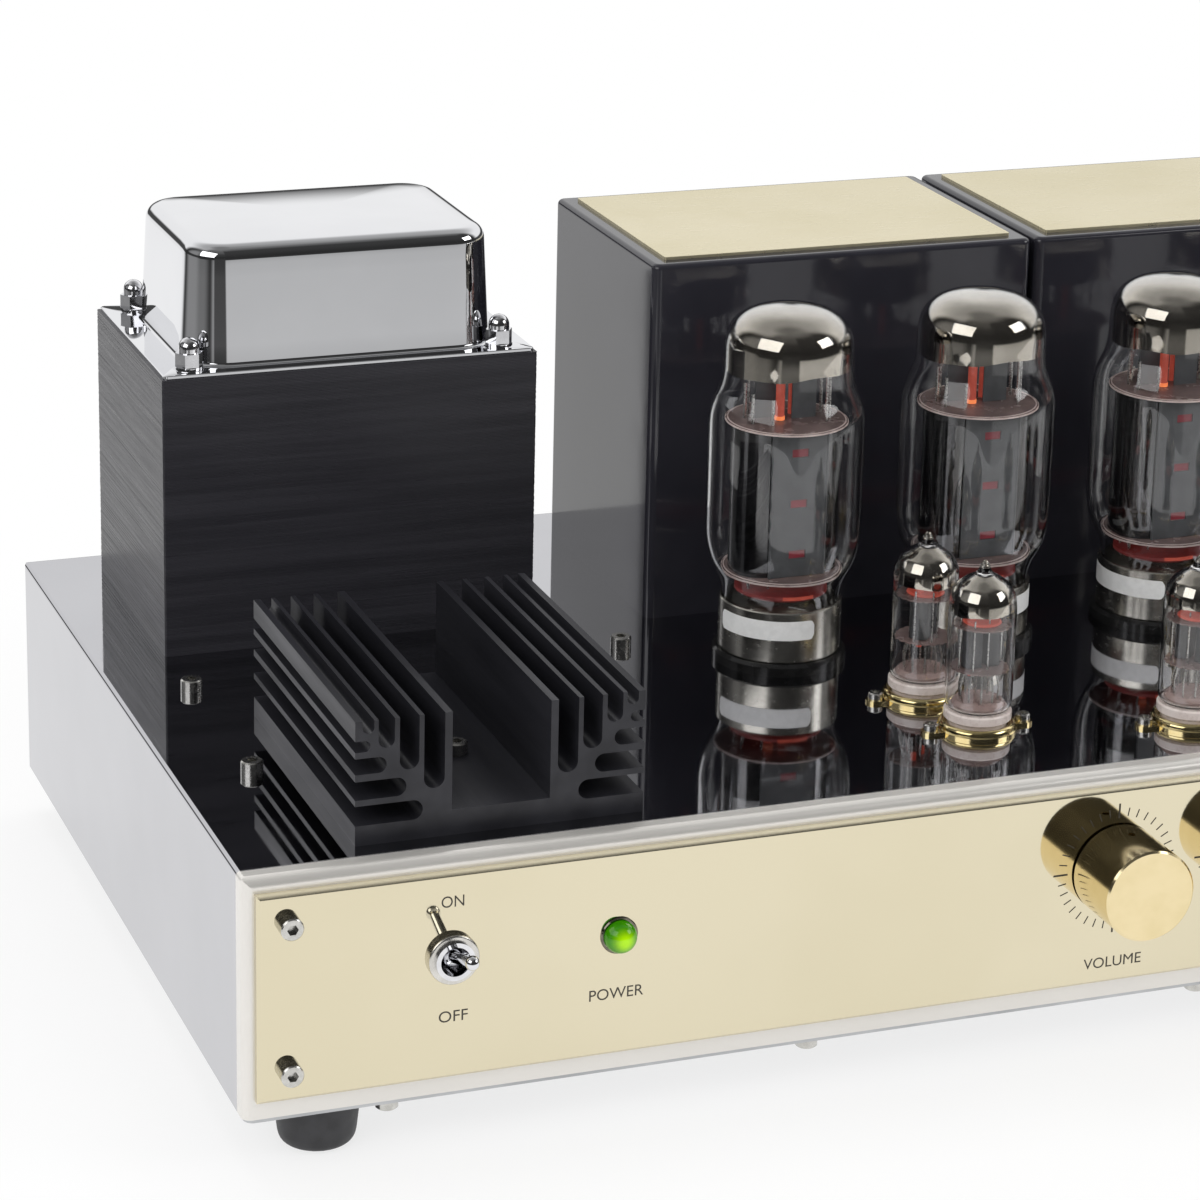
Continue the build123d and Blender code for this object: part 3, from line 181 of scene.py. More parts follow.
def span(mat, value, low, high, to_low, to_high, interpolation="LINEAR"):
    """Maps value from low..high to to_low..to_high."""
    node = mat.node_tree.nodes.new("ShaderNodeMapRange")
    node.interpolation_type = interpolation
    for label, number in zip(("From Min", "From Max", "To Min", "To Max"),
                             (low, high, to_low, to_high)):
        node.inputs[label].default_value = number
    mat.node_tree.links.new(value, node.inputs["Value"])
    return node.outputs["Result"]


def combine(tree, operation, *values):
    """A Math node on sockets and numbers."""
    node = tree.nodes.new("ShaderNodeMath")
    node.operation = operation
    for socket, value in zip(node.inputs, values):
        if isinstance(value, float):
            socket.default_value = value
        else:
            tree.links.new(value, socket)
    return node.outputs[0]


def mix_in(mat, factor, other):
    """Mixes the Principled shader with another one by a factor."""
    tree, shader, output = parts_of(mat)
    mix = tree.nodes.new("ShaderNodeMixShader")
    for source, socket in zip((factor, shader.outputs[0], other.outputs[0]), mix.inputs):
        tree.links.new(source, socket)
    tree.links.new(mix.outputs[0], output.inputs["Surface"])


def tones(mat, size, low, high, stretch=EVEN):
    """Base colour that drifts between two colours."""
    tree, shader, _ = parts_of(mat)
    color = ramp(tree, noise(mat, size, stretch), *zip(DRIFT, (low, high)))
    tree.links.new(color, shader.inputs["Base Color"])


def polish(mat, size, low, high, stretch=EVEN):
    """Roughness that drifts between low and high."""
    tree, shader, _ = parts_of(mat)
    rough = span(mat, noise(mat, size, stretch, detail=4.0), *DRIFT, low, high)
    tree.links.new(rough, shader.inputs["Roughness"])


def relief(mat, size, depth, stretch=EVEN, detail=2.0):
    """A bump of depth millimetres."""
    tree, shader, _ = parts_of(mat)
    node = tree.nodes.new("ShaderNodeBump")
    node.inputs["Distance"].default_value = depth * MM
    tree.links.new(noise(mat, size, stretch, detail), node.inputs["Height"])
    tree.links.new(node.outputs["Normal"], shader.inputs["Normal"])


def surface(name, tint, shine, bump, metallic=0.0, **sockets):
    """A material from what tones, polish and relief take after the material."""
    mat = new_material(name, tint[1], shine[1], metallic, **sockets)
    tones(mat, *tint)
    polish(mat, *shine)
    relief(mat, *bump)


# ---- plain finishes
# low and high colour, low and high roughness, size of the drift, depth of the bump, stretch
METALS = {
    "bottom_steel": ((0.42, 0.43, 0.44), (0.56, 0.57, 0.58), 0.28, 0.42, 25, 0.004),
    "screw_steel": ((0.54, 0.53, 0.5), (0.68, 0.67, 0.64), 0.18, 0.3, 3, 0.004),
    "bezel_nickel": ((0.16, 0.15, 0.12), (0.24, 0.22, 0.18), 0.12, 0.22, 3, 0.002),
    "chrome": ((0.75, 0.755, 0.775), (0.78, 0.785, 0.805), 0.015, 0.03, 40, 0.0015),
    "nut_satin": ((0.64, 0.62, 0.58), (0.74, 0.72, 0.68), 0.2, 0.3, 4, 0.003),
    "nut_chrome": ((0.72, 0.72, 0.74), (0.82, 0.82, 0.84), 0.05, 0.12, 4, 0.003),
    "tube_base_steel": ((0.54, 0.52, 0.47), (0.64, 0.62, 0.56), 0.2, 0.28, 9, 0.002, (1, 1, 2)),
    "anode_grey": ((0.1, 0.1, 0.105), (0.15, 0.15, 0.15), 0.1, 0.18, 7, 0.002, (1, 1, 0.3)),
    "rod_nickel": ((0.45, 0.44, 0.43), (0.6, 0.59, 0.57), 0.2, 0.35, 2, 0.004),
    "gold": ((0.8, 0.64, 0.3), (0.88, 0.74, 0.4), 0.08, 0.18, 5, 0.003),
    "knob_gold": ((0.83, 0.69, 0.4), (0.88, 0.74, 0.45), 0.11, 0.17, 12, 0.0015),
    "shaft_aluminium": ((0.6, 0.6, 0.61), (0.72, 0.72, 0.73), 0.2, 0.32, 4, 0.004),
    "control_body": ((0.5, 0.49, 0.46), (0.62, 0.61, 0.58), 0.25, 0.4, 10, 0.004),
}
for name, (low, high, rough_low, rough_high, size, depth, *stretch) in METALS.items():
    surface(name, (size, low, high, *stretch), (size / 3, rough_low, rough_high, *stretch),
            (size / 10, depth, *stretch), 1.0)


def glowing(color, strength):
    return {"emission_color": color, "emission_strength": strength}


# low and high colour, low and high roughness, size of the drift, depth of the bump, sockets
SOLIDS = {
    "rubber": ((0.022, 0.022, 0.024), (0.04, 0.04, 0.044), 0.45, 0.62, 5, 0.02),
    "winding_paper": ((0.5, 0.36, 0.16), (0.62, 0.46, 0.22), 0.35, 0.5, 20, 0.01),
    "fin_grey": ((0.05, 0.052, 0.056), (0.072, 0.075, 0.08), 0.38, 0.5, 6, 0.004),
    "plate_dark": ((0.03, 0.03, 0.032), (0.05, 0.05, 0.052), 0.3, 0.42, 5, 0.003),
    "mica": ((0.12, 0.085, 0.08), (0.2, 0.14, 0.13), 0.18, 0.3, 12, 0.002),
    "mica_edge": ((0.46, 0.36, 0.34), (0.6, 0.5, 0.47), 0.25, 0.4, 6, 0.002),
    # painted reflection: the stem glass's pink tint stands in for a reflection low in the driver
    # tubes
    "stem_glass": ((0.5, 0.36, 0.33), (0.62, 0.46, 0.42), 0.1, 0.2, 3, 0.004,
                   {"transmission_weight": 0.6}),
    "black_phenolic": ((0.008, 0.008, 0.008), (0.014, 0.014, 0.014), 0.12, 0.22, 6, 0.004,
                       {"specular_ior_level": 0.4}),
    "ceramic": ((0.62, 0.53, 0.49), (0.74, 0.66, 0.62), 0.22, 0.35, 5, 0.01),
    "inlet_plastic": ((0.016, 0.016, 0.017), (0.028, 0.028, 0.03), 0.38, 0.52, 5, 0.02),
    "post_red": ((0.42, 0.012, 0.012), (0.55, 0.022, 0.02), 0.12, 0.22, 5, 0.004,
                 {"coat_weight": 0.3}),
    "post_black": ((0.012, 0.012, 0.012), (0.022, 0.022, 0.022), 0.12, 0.22, 5, 0.004,
                   {"coat_weight": 0.3}),
    "board_green": ((0.02, 0.13, 0.05), (0.03, 0.2, 0.08), 0.25, 0.4, 8, 0.01),
    "capacitor_sleeve": ((0.012, 0.014, 0.03), (0.02, 0.024, 0.05), 0.2, 0.35, 9, 0.01),
    "label_paper": ((0.8, 0.8, 0.79), (0.88, 0.88, 0.87), 0.45, 0.6, 3, 0.01),
    "ink": ((0.035, 0.03, 0.022), (0.06, 0.052, 0.04), 0.4, 0.55, 2, 0.004),
    "hot_tip": ((0.6, 0.2, 0.05), (0.7, 0.3, 0.08), 0.4, 0.6, 3, 0.01,
                glowing((1.0, 0.2, 0.08), 0.6)),
    "heater_glow": ((0.3, 0.05, 0.03), (0.42, 0.08, 0.05), 0.4, 0.6, 3, 0.01,
                    glowing((0.95, 0.13, 0.08), 0.17)),
    "ember_glow": ((0.12, 0.02, 0.02), (0.2, 0.03, 0.03), 0.4, 0.6, 3, 0.01,
                   glowing((0.9, 0.06, 0.04), 0.035)),
    # painted glow: dark red glowing panes that fill the anode's windows in place of the glowing
    # inside seen through them
    "window_glow_pane": ((0.16, 0.015, 0.025), (0.2, 0.02, 0.03), 0.4, 0.6, 9, 0.01,
                     glowing((0.9, 0.06, 0.1), 0.02)),
    "led_green": ((0.02, 0.13, 0.0), (0.035, 0.18, 0.0), 0.1, 0.18, 2, 0.002,
                  glowing((0.2, 0.9, 0.0), 0.72)),
}
for name, (low, high, rough_low, rough_high, size, depth, *sockets) in SOLIDS.items():
    surface(name, (size, low, high), (size / 2, rough_low, rough_high), (size / 12, depth),
            **dict(*sockets))

surface("gold_plates", (60, (0.8, 0.72, 0.48), (0.85, 0.77, 0.54)), (8, 0.26, 0.34, (1, 12, 1)),
        (1.5, 0.003, (1, 20, 1)), 0.8)
surface("gloss_black", (50, (0.021, 0.0205, 0.0265), (0.0285, 0.0278, 0.0355)), (20, 0.07, 0.12),
        (1.6, 0.002), specular_ior_level=0.6)
surface("black_laminations",
        (14, (0.023, 0.0224, 0.0272), (0.033, 0.0321, 0.0384), (0.15, 0.15, 4)),
        (9, 0.26, 0.36, (0.2, 0.2, 5)), (0.8, 0.012, (0.08, 0.08, 1)), specular_ior_level=0.32)
surface("anodised_black", (16, (0.016, 0.016, 0.02), (0.028, 0.028, 0.034), (1, 0.1, 1)),
        (4, 0.28, 0.42, (1, 0.05, 1)), (0.5, 0.008, (1, 0.04, 1)), 0.2)


# ---- finishes with a rule of their own
def mirror_steel(bend=7.5, blend=1.0):
    """Polished steel, satin on the front face and the rounded front edge of the deck, where it is
    also painted paler and less metallic as painted light, so that it reads brighter.
    """
    mat = new_material("mirror_steel", (0.64, 0.64, 0.655), 0.04, 1.0)
    tree, shader, _ = parts_of(mat)
    y = along(mat, "Y")
    bend_y = box("chassis_shell")[0].y + bend

    def by_place(in_front, behind):
        return span(mat, y, bend_y - blend, bend_y, in_front, behind)

    drift = span(mat, noise(mat, 18, detail=4.0), *DRIFT, 0.02, 0.06)
    rough = combine(tree, "MAXIMUM", drift, by_place(0.28, 0.0))
    # painted light: place is near 0 on the front face and the bend, which the ramp paints paler,
    # and near 0.5 on the deck and sides behind
    place = combine(tree, "ADD", by_place(0.0, 0.5), span(mat, noise(mat, 60), *DRIFT, 0.0, 0.1))
    color = ramp(tree, place, (0.0, (0.77, 0.745, 0.705)), (0.1, (0.81, 0.785, 0.745)),
                 (0.5, (0.5, 0.5, 0.525)), (0.6, (0.535, 0.535, 0.56)), interpolation="LINEAR")
    tree.links.new(color, shader.inputs["Base Color"])
    tree.links.new(rough, shader.inputs["Roughness"])
    # painted light: less metal on the front face and the bend, so that their paler colour shows
    # brighter in the lamps' light
    tree.links.new(by_place(0.55, 1.0), shader.inputs["Metallic"])
    relief(mat, 26, 0.007, detail=1.0)


def gold_panel(edge=0.05, blend=0.9):
    """Polished gold plate, satin along its upper edge."""
    mat = new_material("gold_panel", (0.76, 0.685, 0.485), 0.05, 1.0)
    tones(mat, 90, (0.745, 0.675, 0.49), (0.775, 0.705, 0.52))
    polish(mat, 25, 0.03, 0.07)
    relief(mat, 40, 0.008, detail=1.0)
    tree, shader, _ = parts_of(mat)
    z = along(mat, "Z")
    edge_z = box("front_panel")[1].z - edge
    satin = span(mat, z, edge_z - blend, edge_z, 0.0, 0.45)
    polished = shader.inputs["Roughness"].links[0].from_socket
    tree.links.new(combine(tree, "MAXIMUM", polished, satin), shader.inputs["Roughness"])
    tree.links.new(span(mat, z, edge_z - blend, edge_z, 1.0, 0.4), shader.inputs["Metallic"])


def clear_glass():
    """Clear glass that lets the lamps' light through to what stands inside it."""
    mat = new_material("glass", (1.0, 1.0, 1.0), 0.0, transmission_weight=1.0, ior=1.47)
    polish(mat, 30, 0.0, 0.015)
    relief(mat, 22, 0.02, (1, 1, 0.5), 1.0)
    nodes = mat.node_tree.nodes
    path = nodes.new("ShaderNodeLightPath")
    mix_in(mat, path.outputs["Is Shadow Ray"], nodes.new("ShaderNodeBsdfTransparent"))


def getter_mirror():
    """The metal flashed on the inside of a tube's dome."""
    mat = new_material("getter_mirror", (0.5, 0.46, 0.4), 0.05, 1.0)
    tones(mat, 14, (0.42, 0.385, 0.325), (0.53, 0.495, 0.43))
    polish(mat, 9, 0.03, 0.07)


def lit_lens(radius=5.0):
    """The green lens, lit in the middle and darker towards its edge."""
    mat = M["led_green"]
    tree, shader, _ = parts_of(mat)
    middle = box("led_lens")[2]
    share = span(mat, distance(mat, (1, 0, 1), (-middle.x, 0, -middle.z)), 0, radius, 0, 1)
    color = ramp(tree, share, (0.12, (0.56, 0.95, 0.0)), (0.92, (0.012, 0.12, 0.0)))
    tree.links.new(color, shader.inputs["Emission Color"])


mirror_steel()
gold_panel()
clear_glass()
getter_mirror()
lit_lens()

# the finish of every node whose name ends like this
FINISHES = {
    "mirror_steel": "_shell", "bottom_steel": "bottom_plate", "screw_steel": "_screws _bolts",
    "rubber": "_feet", "gold_panel": "_panel", "black_laminations": "_core _cores",
    "winding_paper": "_winding _windings", "chrome": "_bell switch_lever",
    "nut_chrome": "_nuts switch_body", "nut_satin": "switch_nut", "gloss_black": "_can",
    "gold_plates": "transformer_plates", "anodised_black": "heat_sink",
    "black_phenolic": "octal_sockets", "glass": "_envelope _envelopes",
    "tube_base_steel": "_base", "anode_grey": "_electrodes", "ceramic": "noval_sockets",
    "gold": "_flanges rca_sockets speaker_posts", "control_body": "_controls",
    "knob_gold": "_knob", "shaft_aluminium": "_shaft _standoffs", "bezel_nickel": "_bezel",
    "led_green": "_lens", "inlet_plastic": "_inlet _drawer", "post_red": "_red_post_cap",
    "post_black": "_black_post_cap", "board_green": "_board", "capacitor_sleeve": "_capacitors",
}
for node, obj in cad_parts.items():
    finish, = [name for name, ends in FINISHES.items() if node.endswith(tuple(ends.split()))]
    obj.data.materials.clear()
    obj.data.materials.append(M[finish])


# ---- mesh tools
def placed(name, data):
    """A new object in the scene."""
    obj = bpy.data.objects.new(name, data)
    bpy.context.scene.collection.objects.link(obj)
    return obj


def turns(count):
    """Angles of count even steps round a circle."""
    return [2 * pi * i / count for i in range(count)]


def on_circle(radius, angle, centre=(0, 0)):
    return centre[0] + radius * cos(angle), centre[1] + radius * sin(angle)


def toothed_disc(radius, count, notches):
    """The outline of a disc whose count points are cut back by the notches, over and over."""
    return [on_circle(radius - notches[i % len(notches)], a) for i, a in enumerate(turns(count))]


def eased(points, step, passes):
    """A polyline resampled every step and smoothed, its ends kept."""
    points = [Vector(p) for p in points]
    line = [points[0]]
    for a, b in zip(points, points[1:]):
        count = max(1, round((b - a).length / step))
        line += [a.lerp(b, (i + 1) / count) for i in range(count)]
    for _ in range(passes):
        inner = [(line[i - 1] + line[i] * 2 + line[i + 1]) / 4 for i in range(1, len(line) - 1)]
        line = [line[0]] + inner + [line[-1]]
    return [tuple(p) for p in line]


def offset_in(profile, wall):
    """A lathe profile moved inwards by wall; points on the axis stay on it."""
    out = []
    for k, (r, z) in enumerate(profile):
        a, b = profile[max(k - 1, 0)], profile[min(k + 1, len(profile) - 1)]
        dr, dz = b[0] - a[0], b[1] - a[1]
        size = hypot(dr, dz) or 1
        out.append((0.0 if on_axis(r) else max(r - dz / size * wall, 0.0), z + dr / size * wall))
    return out


def on_axis(radius):
    return radius <= 1e-6


class Mesh:
    """Faces over points from an origin, turned by a matrix, each in the material in use."""

    def __init__(self, material, origin=(0, 0, 0), turn=Matrix.Identity(3)):
        self.origin, self.turn = Vector(origin), turn
        self.points, self.faces, self.paints, self.materials = [], [], [], []
        self.use(material)

    def use(self, material):
        """Sets the material of the faces that follow."""
        if material not in self.materials:
            self.materials.append(material)
        self.paint = self.materials.index(material)

    def add(self, points, faces):
        start = len(self.points)
        self.points += [tuple(p) for p in points]
        self.faces += [tuple(start + i for i in face) for face in faces]
        self.paints += [self.paint] * len(faces)

    def loft(self, rings, caps=True):
        """A skin over rings with as many points each."""
        n = len(rings[0])
        faces = []
        for a in range(0, (len(rings) - 1) * n, n):
            faces += [(a + i, a + (i + 1) % n, a + n + (i + 1) % n, a + n + i) for i in range(n)]
        if caps:
            last = (len(rings) - 1) * n
            faces += [tuple(range(n))[::-1], tuple(range(last, last + n))]
        self.add([p for ring in rings for p in ring], faces)

    def lathe(self, profile, centre=(0, 0), count=64, closed=False, wobble=None):
        """Turns (radius, height) points about the local z. wobble(angle, index) adds height."""
        points, rows = [], []
        for k, (r, z) in enumerate(profile):
            start = len(points)
            if on_axis(r):
                points.append((*centre, z))
            else:
                points += [(*on_circle(r, a, centre), z + (wobble(a, k) if wobble else 0))
                           for a in turns(count)]
            rows.append(range(start, len(points)))
        faces = []
        for a, b in zip(rows, rows[1:] + rows[:1] if closed else rows[1:]):
            if len(a) == len(b) == 1:
                continue
            for i in range(count):
                j = (i + 1) % count
                if len(a) == 1:
                    faces.append((a[0], b[j], b[i]))
                elif len(b) == 1:
                    faces.append((a[i], a[j], b[0]))
                else:
                    faces.append((a[i], a[j], b[j], b[i]))
        self.add(points, faces)

    def prism(self, outline, low, high):
        self.loft([[(x, y, z) for x, y in outline] for z in (low, high)])

    def block(self, lo, hi):
        self.prism([(lo[0], lo[1]), (hi[0], lo[1]), (hi[0], hi[1]), (lo[0], hi[1])], lo[2], hi[2])

    def rod(self, path, radius, count=8):
        """A round rod along a path of points."""
        path = [Vector(p) for p in path]
        rings, side = [], None
        for k, p in enumerate(path):
            ahead = (path[min(k + 1, len(path) - 1)] - path[max(k - 1, 0)]).normalized()
            if side is None:
                side = ahead.orthogonal().normalized()
            side = (side - ahead * side.dot(ahead)).normalized()
            other = ahead.cross(side)
            rings.append([p + (side * cos(a) + other * sin(a)) * radius for a in turns(count)])
        self.loft(rings)

    def post(self, x, y, low, high, radius, count=8):
        """An upright rod."""
        self.rod([(x, y, low), (x, y, high)], radius, count)

    def fretwork(self, xs, zs, gaps, front, back):
        """A flat upright plate cut along xs and zs, with the cells in gaps left open."""
        layer = len(xs) * len(zs)
        cells = {(i, k) for k in range(len(zs) - 1) for i in range(len(xs) - 1)} - gaps

        def at(i, k, side):
            return side * layer + k * len(xs) + i

        faces = []
        for i, k in sorted(cells, key=lambda cell: cell[::-1]):
            loop = (i, k), (i + 1, k), (i + 1, k + 1), (i, k + 1)
            faces.append(tuple(at(*corner, 0) for corner in loop))
            faces.append(tuple(at(*corner, 1) for corner in (loop[0], loop[3], loop[2], loop[1])))
            for step, a, b in (((0, -1), loop[0], loop[1]), ((0, 1), loop[2], loop[3]),
                               ((-1, 0), loop[3], loop[0]), ((1, 0), loop[1], loop[2])):
                if (i + step[0], k + step[1]) not in cells:
                    faces.append((at(*b, 0), at(*a, 0), at(*a, 1), at(*b, 1)))
        self.add([(x, y, z) for y in (front, back) for z in zs for x in xs], faces)

    def build(self, name, sharp=35, recalc=True):
        """The object: smooth faces, and edges over sharp degrees kept sharp."""
        mesh = bpy.data.meshes.new(name)
        mesh.from_pydata([(self.origin + self.turn @ Vector(p)) * MM for p in self.points],
                         [], self.faces)
        for material in self.materials:
            mesh.materials.append(M[material])
        mesh.polygons.foreach_set("material_index", self.paints)
        work = bmesh.new()
        work.from_mesh(mesh)
        loose = [v for v in work.verts if not v.link_faces]
        bmesh.ops.delete(work, geom=loose, context="VERTS")
        if recalc:
            bmesh.ops.recalc_face_normals(work, faces=work.faces)
        work.to_mesh(mesh)
        work.free()
        mesh.polygons.foreach_set("use_smooth", [True] * len(mesh.polygons))
        mesh.set_sharp_from_angle(angle=radians(sharp))
        return placed(name, mesh)

    def piece(self, name, body=CHASSIS, slot=None, replaces=(), **how):
        """A piece of the amplifier that rides on a body."""
        obj = self.build(name, **how)
        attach(obj, body)
        if replaces:
            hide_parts(*replaces)


# ---- power transformer
def lamination_stack():
    """The stack's thin leaves, with a window through it on either side of the middle leg."""
    sheets, groove, corner = 190, 0.07, 0.5
    insets = (0.0, 0.0, 0.02, 0.04, 0.07)  # how far a leaf may stand back
    rim_width, slack = 0.6, 0.3  # of the end leaves, and round the winding
    lo, hi, mid = box("power_transformer_core")
    w_lo, w_hi, _ = box("power_transformer_winding")
    half_x, half_y, height = (hi.x - lo.x) / 2, (hi.y - lo.y) / 2, hi.z - lo.z
    leg = half_x / 3
    window_y = (w_hi.y - w_lo.y) / 2 + slack
    pitch = height / sheets
    chance = random.Random(7)
    mesh = Mesh("black_laminations", (mid.x, mid.y, lo.z))
    rings = []
    for i in range(sheets):
        inset = chance.choice(insets)
        for share, back in ((0, groove), (0.1, 0), (0.9, 0), (1, groove)):
            x, y, z = half_x - inset - back, half_y - inset - back, (i + share) * pitch
            rings.append([(-x + corner, -y, z), (x - corner, -y, z), (x, -y + corner, z),
                          (x, y - corner, z), (x - corner, y, z), (-x + corner, y, z),
                          (-x, y - corner, z), (-x, -y + corner, z)])
    mesh.loft(rings, caps=False)
    xs = [-half_x + rim_width, -2 * leg, -leg, leg, 2 * leg, half_x - rim_width]
    ys = [-half_y + rim_width, -window_y, window_y, half_y - rim_width]
    row = len(xs)
    windows = {(1, 1), (3, 1)}
    cells = [(i, k) for k in range(len(ys) - 1) for i in range(row - 1) if (i, k) not in windows]
    for z, ring in ((0, rings[0]), (height, rings[-1])):
        grid = [(x, y, z) for y in ys for x in xs]
        mesh.add(grid, [(k * row + i, k * row + i + 1, (k + 1) * row + i + 1, (k + 1) * row + i)
                        for i, k in cells])
        a, b, c, d = grid[0], grid[row - 1], grid[-1], grid[-row]
        mesh.add([(p[0], p[1], z) for p in ring] + [a, b, b, c, c, d, d, a],
                 [(i, i + 1, 9 + i, 8 + i) for i in (0, 2, 4, 6)]
                 + [(i, (i + 1) % 8, 8 + i) for i in (1, 3, 5, 7)])
    for x0, x1 in ((-2 * leg, -leg), (leg, 2 * leg)):
        wall = [(x0, -window_y), (x1, -window_y), (x1, window_y), (x0, window_y)]
        mesh.loft([[(x, y, z) for x, y in wall] for z in (0, height)], caps=False)
    mesh.piece("power_transformer_laminations", slot="black_laminations",
               replaces=["power_transformer_core"], sharp=20, recalc=False)


def rounded_rectangle(half_x, half_y, radius, z, arc=12, side=8):
    """A ring round a rectangle: arc steps in each corner, side steps along each side."""
    ring = []
    corners = ((half_x, half_y), (-half_x, half_y), (-half_x, -half_y), (half_x, -half_y))
    centres = [(x - copysign(radius, x), y - copysign(radius, y)) for x, y in corners]
    for k, centre in enumerate(centres):
        start = 90 * k
        for i in range(arc + 1):
            ring.append((*on_circle(radius, radians(start + 90 * i / arc), centre), z))
        first = Vector(ring[-1])
        second = Vector((*on_circle(radius, radians(start + 90), centres[(k + 1) % 4]), z))
        ring += [tuple(first.lerp(second, i / side)) for i in range(1, side)]
    return ring


def bell_cover():
    """The drawn steel cover: a flange, a small cove at its foot, leaning walls and a soft top."""
    flange, flange_edge, flange_corner = 1.2, 0.25, 1.5
    cove, rounding, corner, wall = 1.2, 5.0, 15.0, 1.2
    setback_x, setback_y = 10.0, 6.0  # from the flange's edge to the walls
    crown = 0.45  # rise of the top over its rounded edge
    lean_angle, end_angle = 3, 89  # where the top's rounding starts and ends
    cove_steps, wall_steps, round_steps, top_steps = 8, 6, 14, 9
    lo, hi, mid = box("power_transformer_bell")
    half_x, half_y, height = (hi.x - lo.x) / 2, (hi.y - lo.y) / 2, hi.z - lo.z
    wall_x, wall_y = half_x - setback_x, half_y - setback_y
    foot_z, bend_z = flange + cove, height - crown - rounding
    rings = [rounded_rectangle(half_x - inset, half_y - inset, flange_corner, z)
             for inset, z in ((0, 0.0), (0, flange - flange_edge), (flange_edge, flange))]
    profile = []
    for i in range(cove_steps + 1):
        a = radians(90 * i / cove_steps)
        profile.append((-cove * (1 - sin(a)), flange + cove * (1 - cos(a))))
    draft = tan(radians(lean_angle))
    for i in range(1, wall_steps + 1):
        rise = (bend_z - foot_z) * i / wall_steps
        profile.append((rise * draft, foot_z + rise))
    lean = profile[-1][0]
    start = radians(lean_angle)
    for i in range(1, round_steps + 1):
        a = radians(lean_angle + (end_angle - lean_angle) * i / round_steps)
        profile.append((lean + rounding * (cos(start) - cos(a)),
                        bend_z + rounding * (sin(a) - sin(start))))
    rings += [rounded_rectangle(wall_x - inset, wall_y - inset, corner - max(inset, 0), z)
              for inset, z in profile]
    top_inset, top_z = profile[-1]
    top = rounded_rectangle(wall_x - top_inset, wall_y - top_inset, corner - top_inset, 0)
    for i in range(1, top_steps):
        scale = 1 - i / top_steps
        z = top_z + (height - top_z) * (1 - scale ** 2)
        rings.append([(x * scale, y * scale, z) for x, y, _ in top])
    inner = [rounded_rectangle(wall_x - wall - inset, wall_y - wall - inset,
                               corner - wall - less, z) for inset, less, z in
             ((0, 0, 0.0), (0, 0, foot_z), (lean, 0, bend_z), (lean + 2.2, 1, height - 3.8),
              (lean + 6, 4, height - 1.9))]
    mesh = Mesh("chrome", (mid.x, mid.y, lo.z))
    for skin in (rings, inner):
        mesh.loft(skin, caps=False)
        mesh.add(skin[-1], [range(len(skin[-1]))])
    n = len(rings[0])
    mesh.add(rings[0] + inner[0], [(i, (i + 1) % n, n + (i + 1) % n, n + i) for i in range(n)])
    mesh.piece("power_transformer_bell_cover", slot="chrome",
               replaces=["power_transformer_bell"], sharp=40)


lamination_stack()
bell_cover()

# ---- output tubes
# Heights in a tube are above the deck, and places are from the tube's axis.
TUBE_GLASS = [(0, 6.6), (13, 6.6), (18.6, 8.0), (19.5, 12), (19.5, 24), (20.6, 28), (24.2, 34),
              (26, 42), (26, 84), (24.6, 89.5), (22.0, 94.5), (21.5, 99), (21.6, 106),
              (21.3, 111), (18.8, 116.2), (13.5, 119.6), (7, 121.0), (0, 121.4)]
TUBE_SIDES = 96
FLASH_Z = 99.5  # lower edge of the getter's mirror
MICA_LOW, MICA_HIGH, MICA_THICK, MICA_RADIUS = 31.0, 82.2, 0.7, 20.2
MICA_RIMS = ((-0.9, -0.5, 0.7, 0.9), (-0.1, 0.15, 0.1, 0.6))  # inside, outside, low, high
ANODE = [(-9, -11.6), (9, -11.6), (15.5, -9.8), (18.3, -4), (18.3, 4), (15.5, 9.8), (9, 11.6),
         (-9, 11.6), (-15.5, 9.8), (-18.3, 4), (-18.3, -4), (-15.5, -9.8), (-9, -11.6)]
ANODE_RIBS, RIB_SCALE = 40, 1 - 0.16 / 15
STRIP_X, STRIP_OUT, STRIP_IN = 9.6, 12.6, 12.1  # strips before and behind it
WINDOW_X, WINDOW_OUT, WINDOW_IN = 2.9, 12.08, 11.7
WINDOW_RISE, WINDOW_ZS = 1.4, (39.5, 57.0, 74.4)
GRID_RODS = ((13.6, -3.5, 97, 0.55), (13.6, 3.5, 96, 0.55), (-13.6, -3.5, 93, 0.55),
             (-13.6, 3.5, 95, 0.55), (6.5, 6, 92, 0.5), (-7.5, -6, 91, 0.5),
             (10.8, -7.5, 99, 0.45), (-10.8, 7.5, 99, 0.45))  # x, y, top, radius
ROD_FOOT_Z, ROD_SPLAY = 22, 0.9
SHELF = MICA_HIGH + MICA_THICK
GRID_PLATES = (((1.0, -1.6, SHELF), (9.6, -1.1, 98)), ((-10.5, 2.2, SHELF), (-2.5, 2.7, 96)))
CATHODES = ((-3.2, -1.5, SHELF, 98, 1.5), (3.0, 4.0, SHELF, 96, 1.0),
            (-2.5, 0, 22.5, MICA_LOW, 1.6), (3.0, 0, 22.5, MICA_LOW, 1.6))  # x, y, ends, radius
HOT_TIPS = ((-3.2, -1.5, MICA_HIGH + 0.75, MICA_HIGH + 2.0, 1.7), (-2.5, 0, 28.2, 30.2, 1.8))
# painted glow: a glowing ring under the lower mica that stands for the heater glow seen there
EMBER_RING = [(0, 23.5), (14, 23.5), (15.5, 24.5), (15.5, 25.6), (13, 26.4), (0, 26.4)]


def getter(name, at, body, skin, count, fade, wave):
    """A closed mirror skin whose lower edge waves, less with each ring above it."""
    def edge(angle, ring):
        return wave(angle) * max(0, 1 - min(ring, len(skin) - 1 - ring) / fade)

    mesh = Mesh("getter_mirror", at)
    mesh.lathe(skin, count=count, closed=True, wobble=edge)
    mesh.piece(name, body, "chrome")


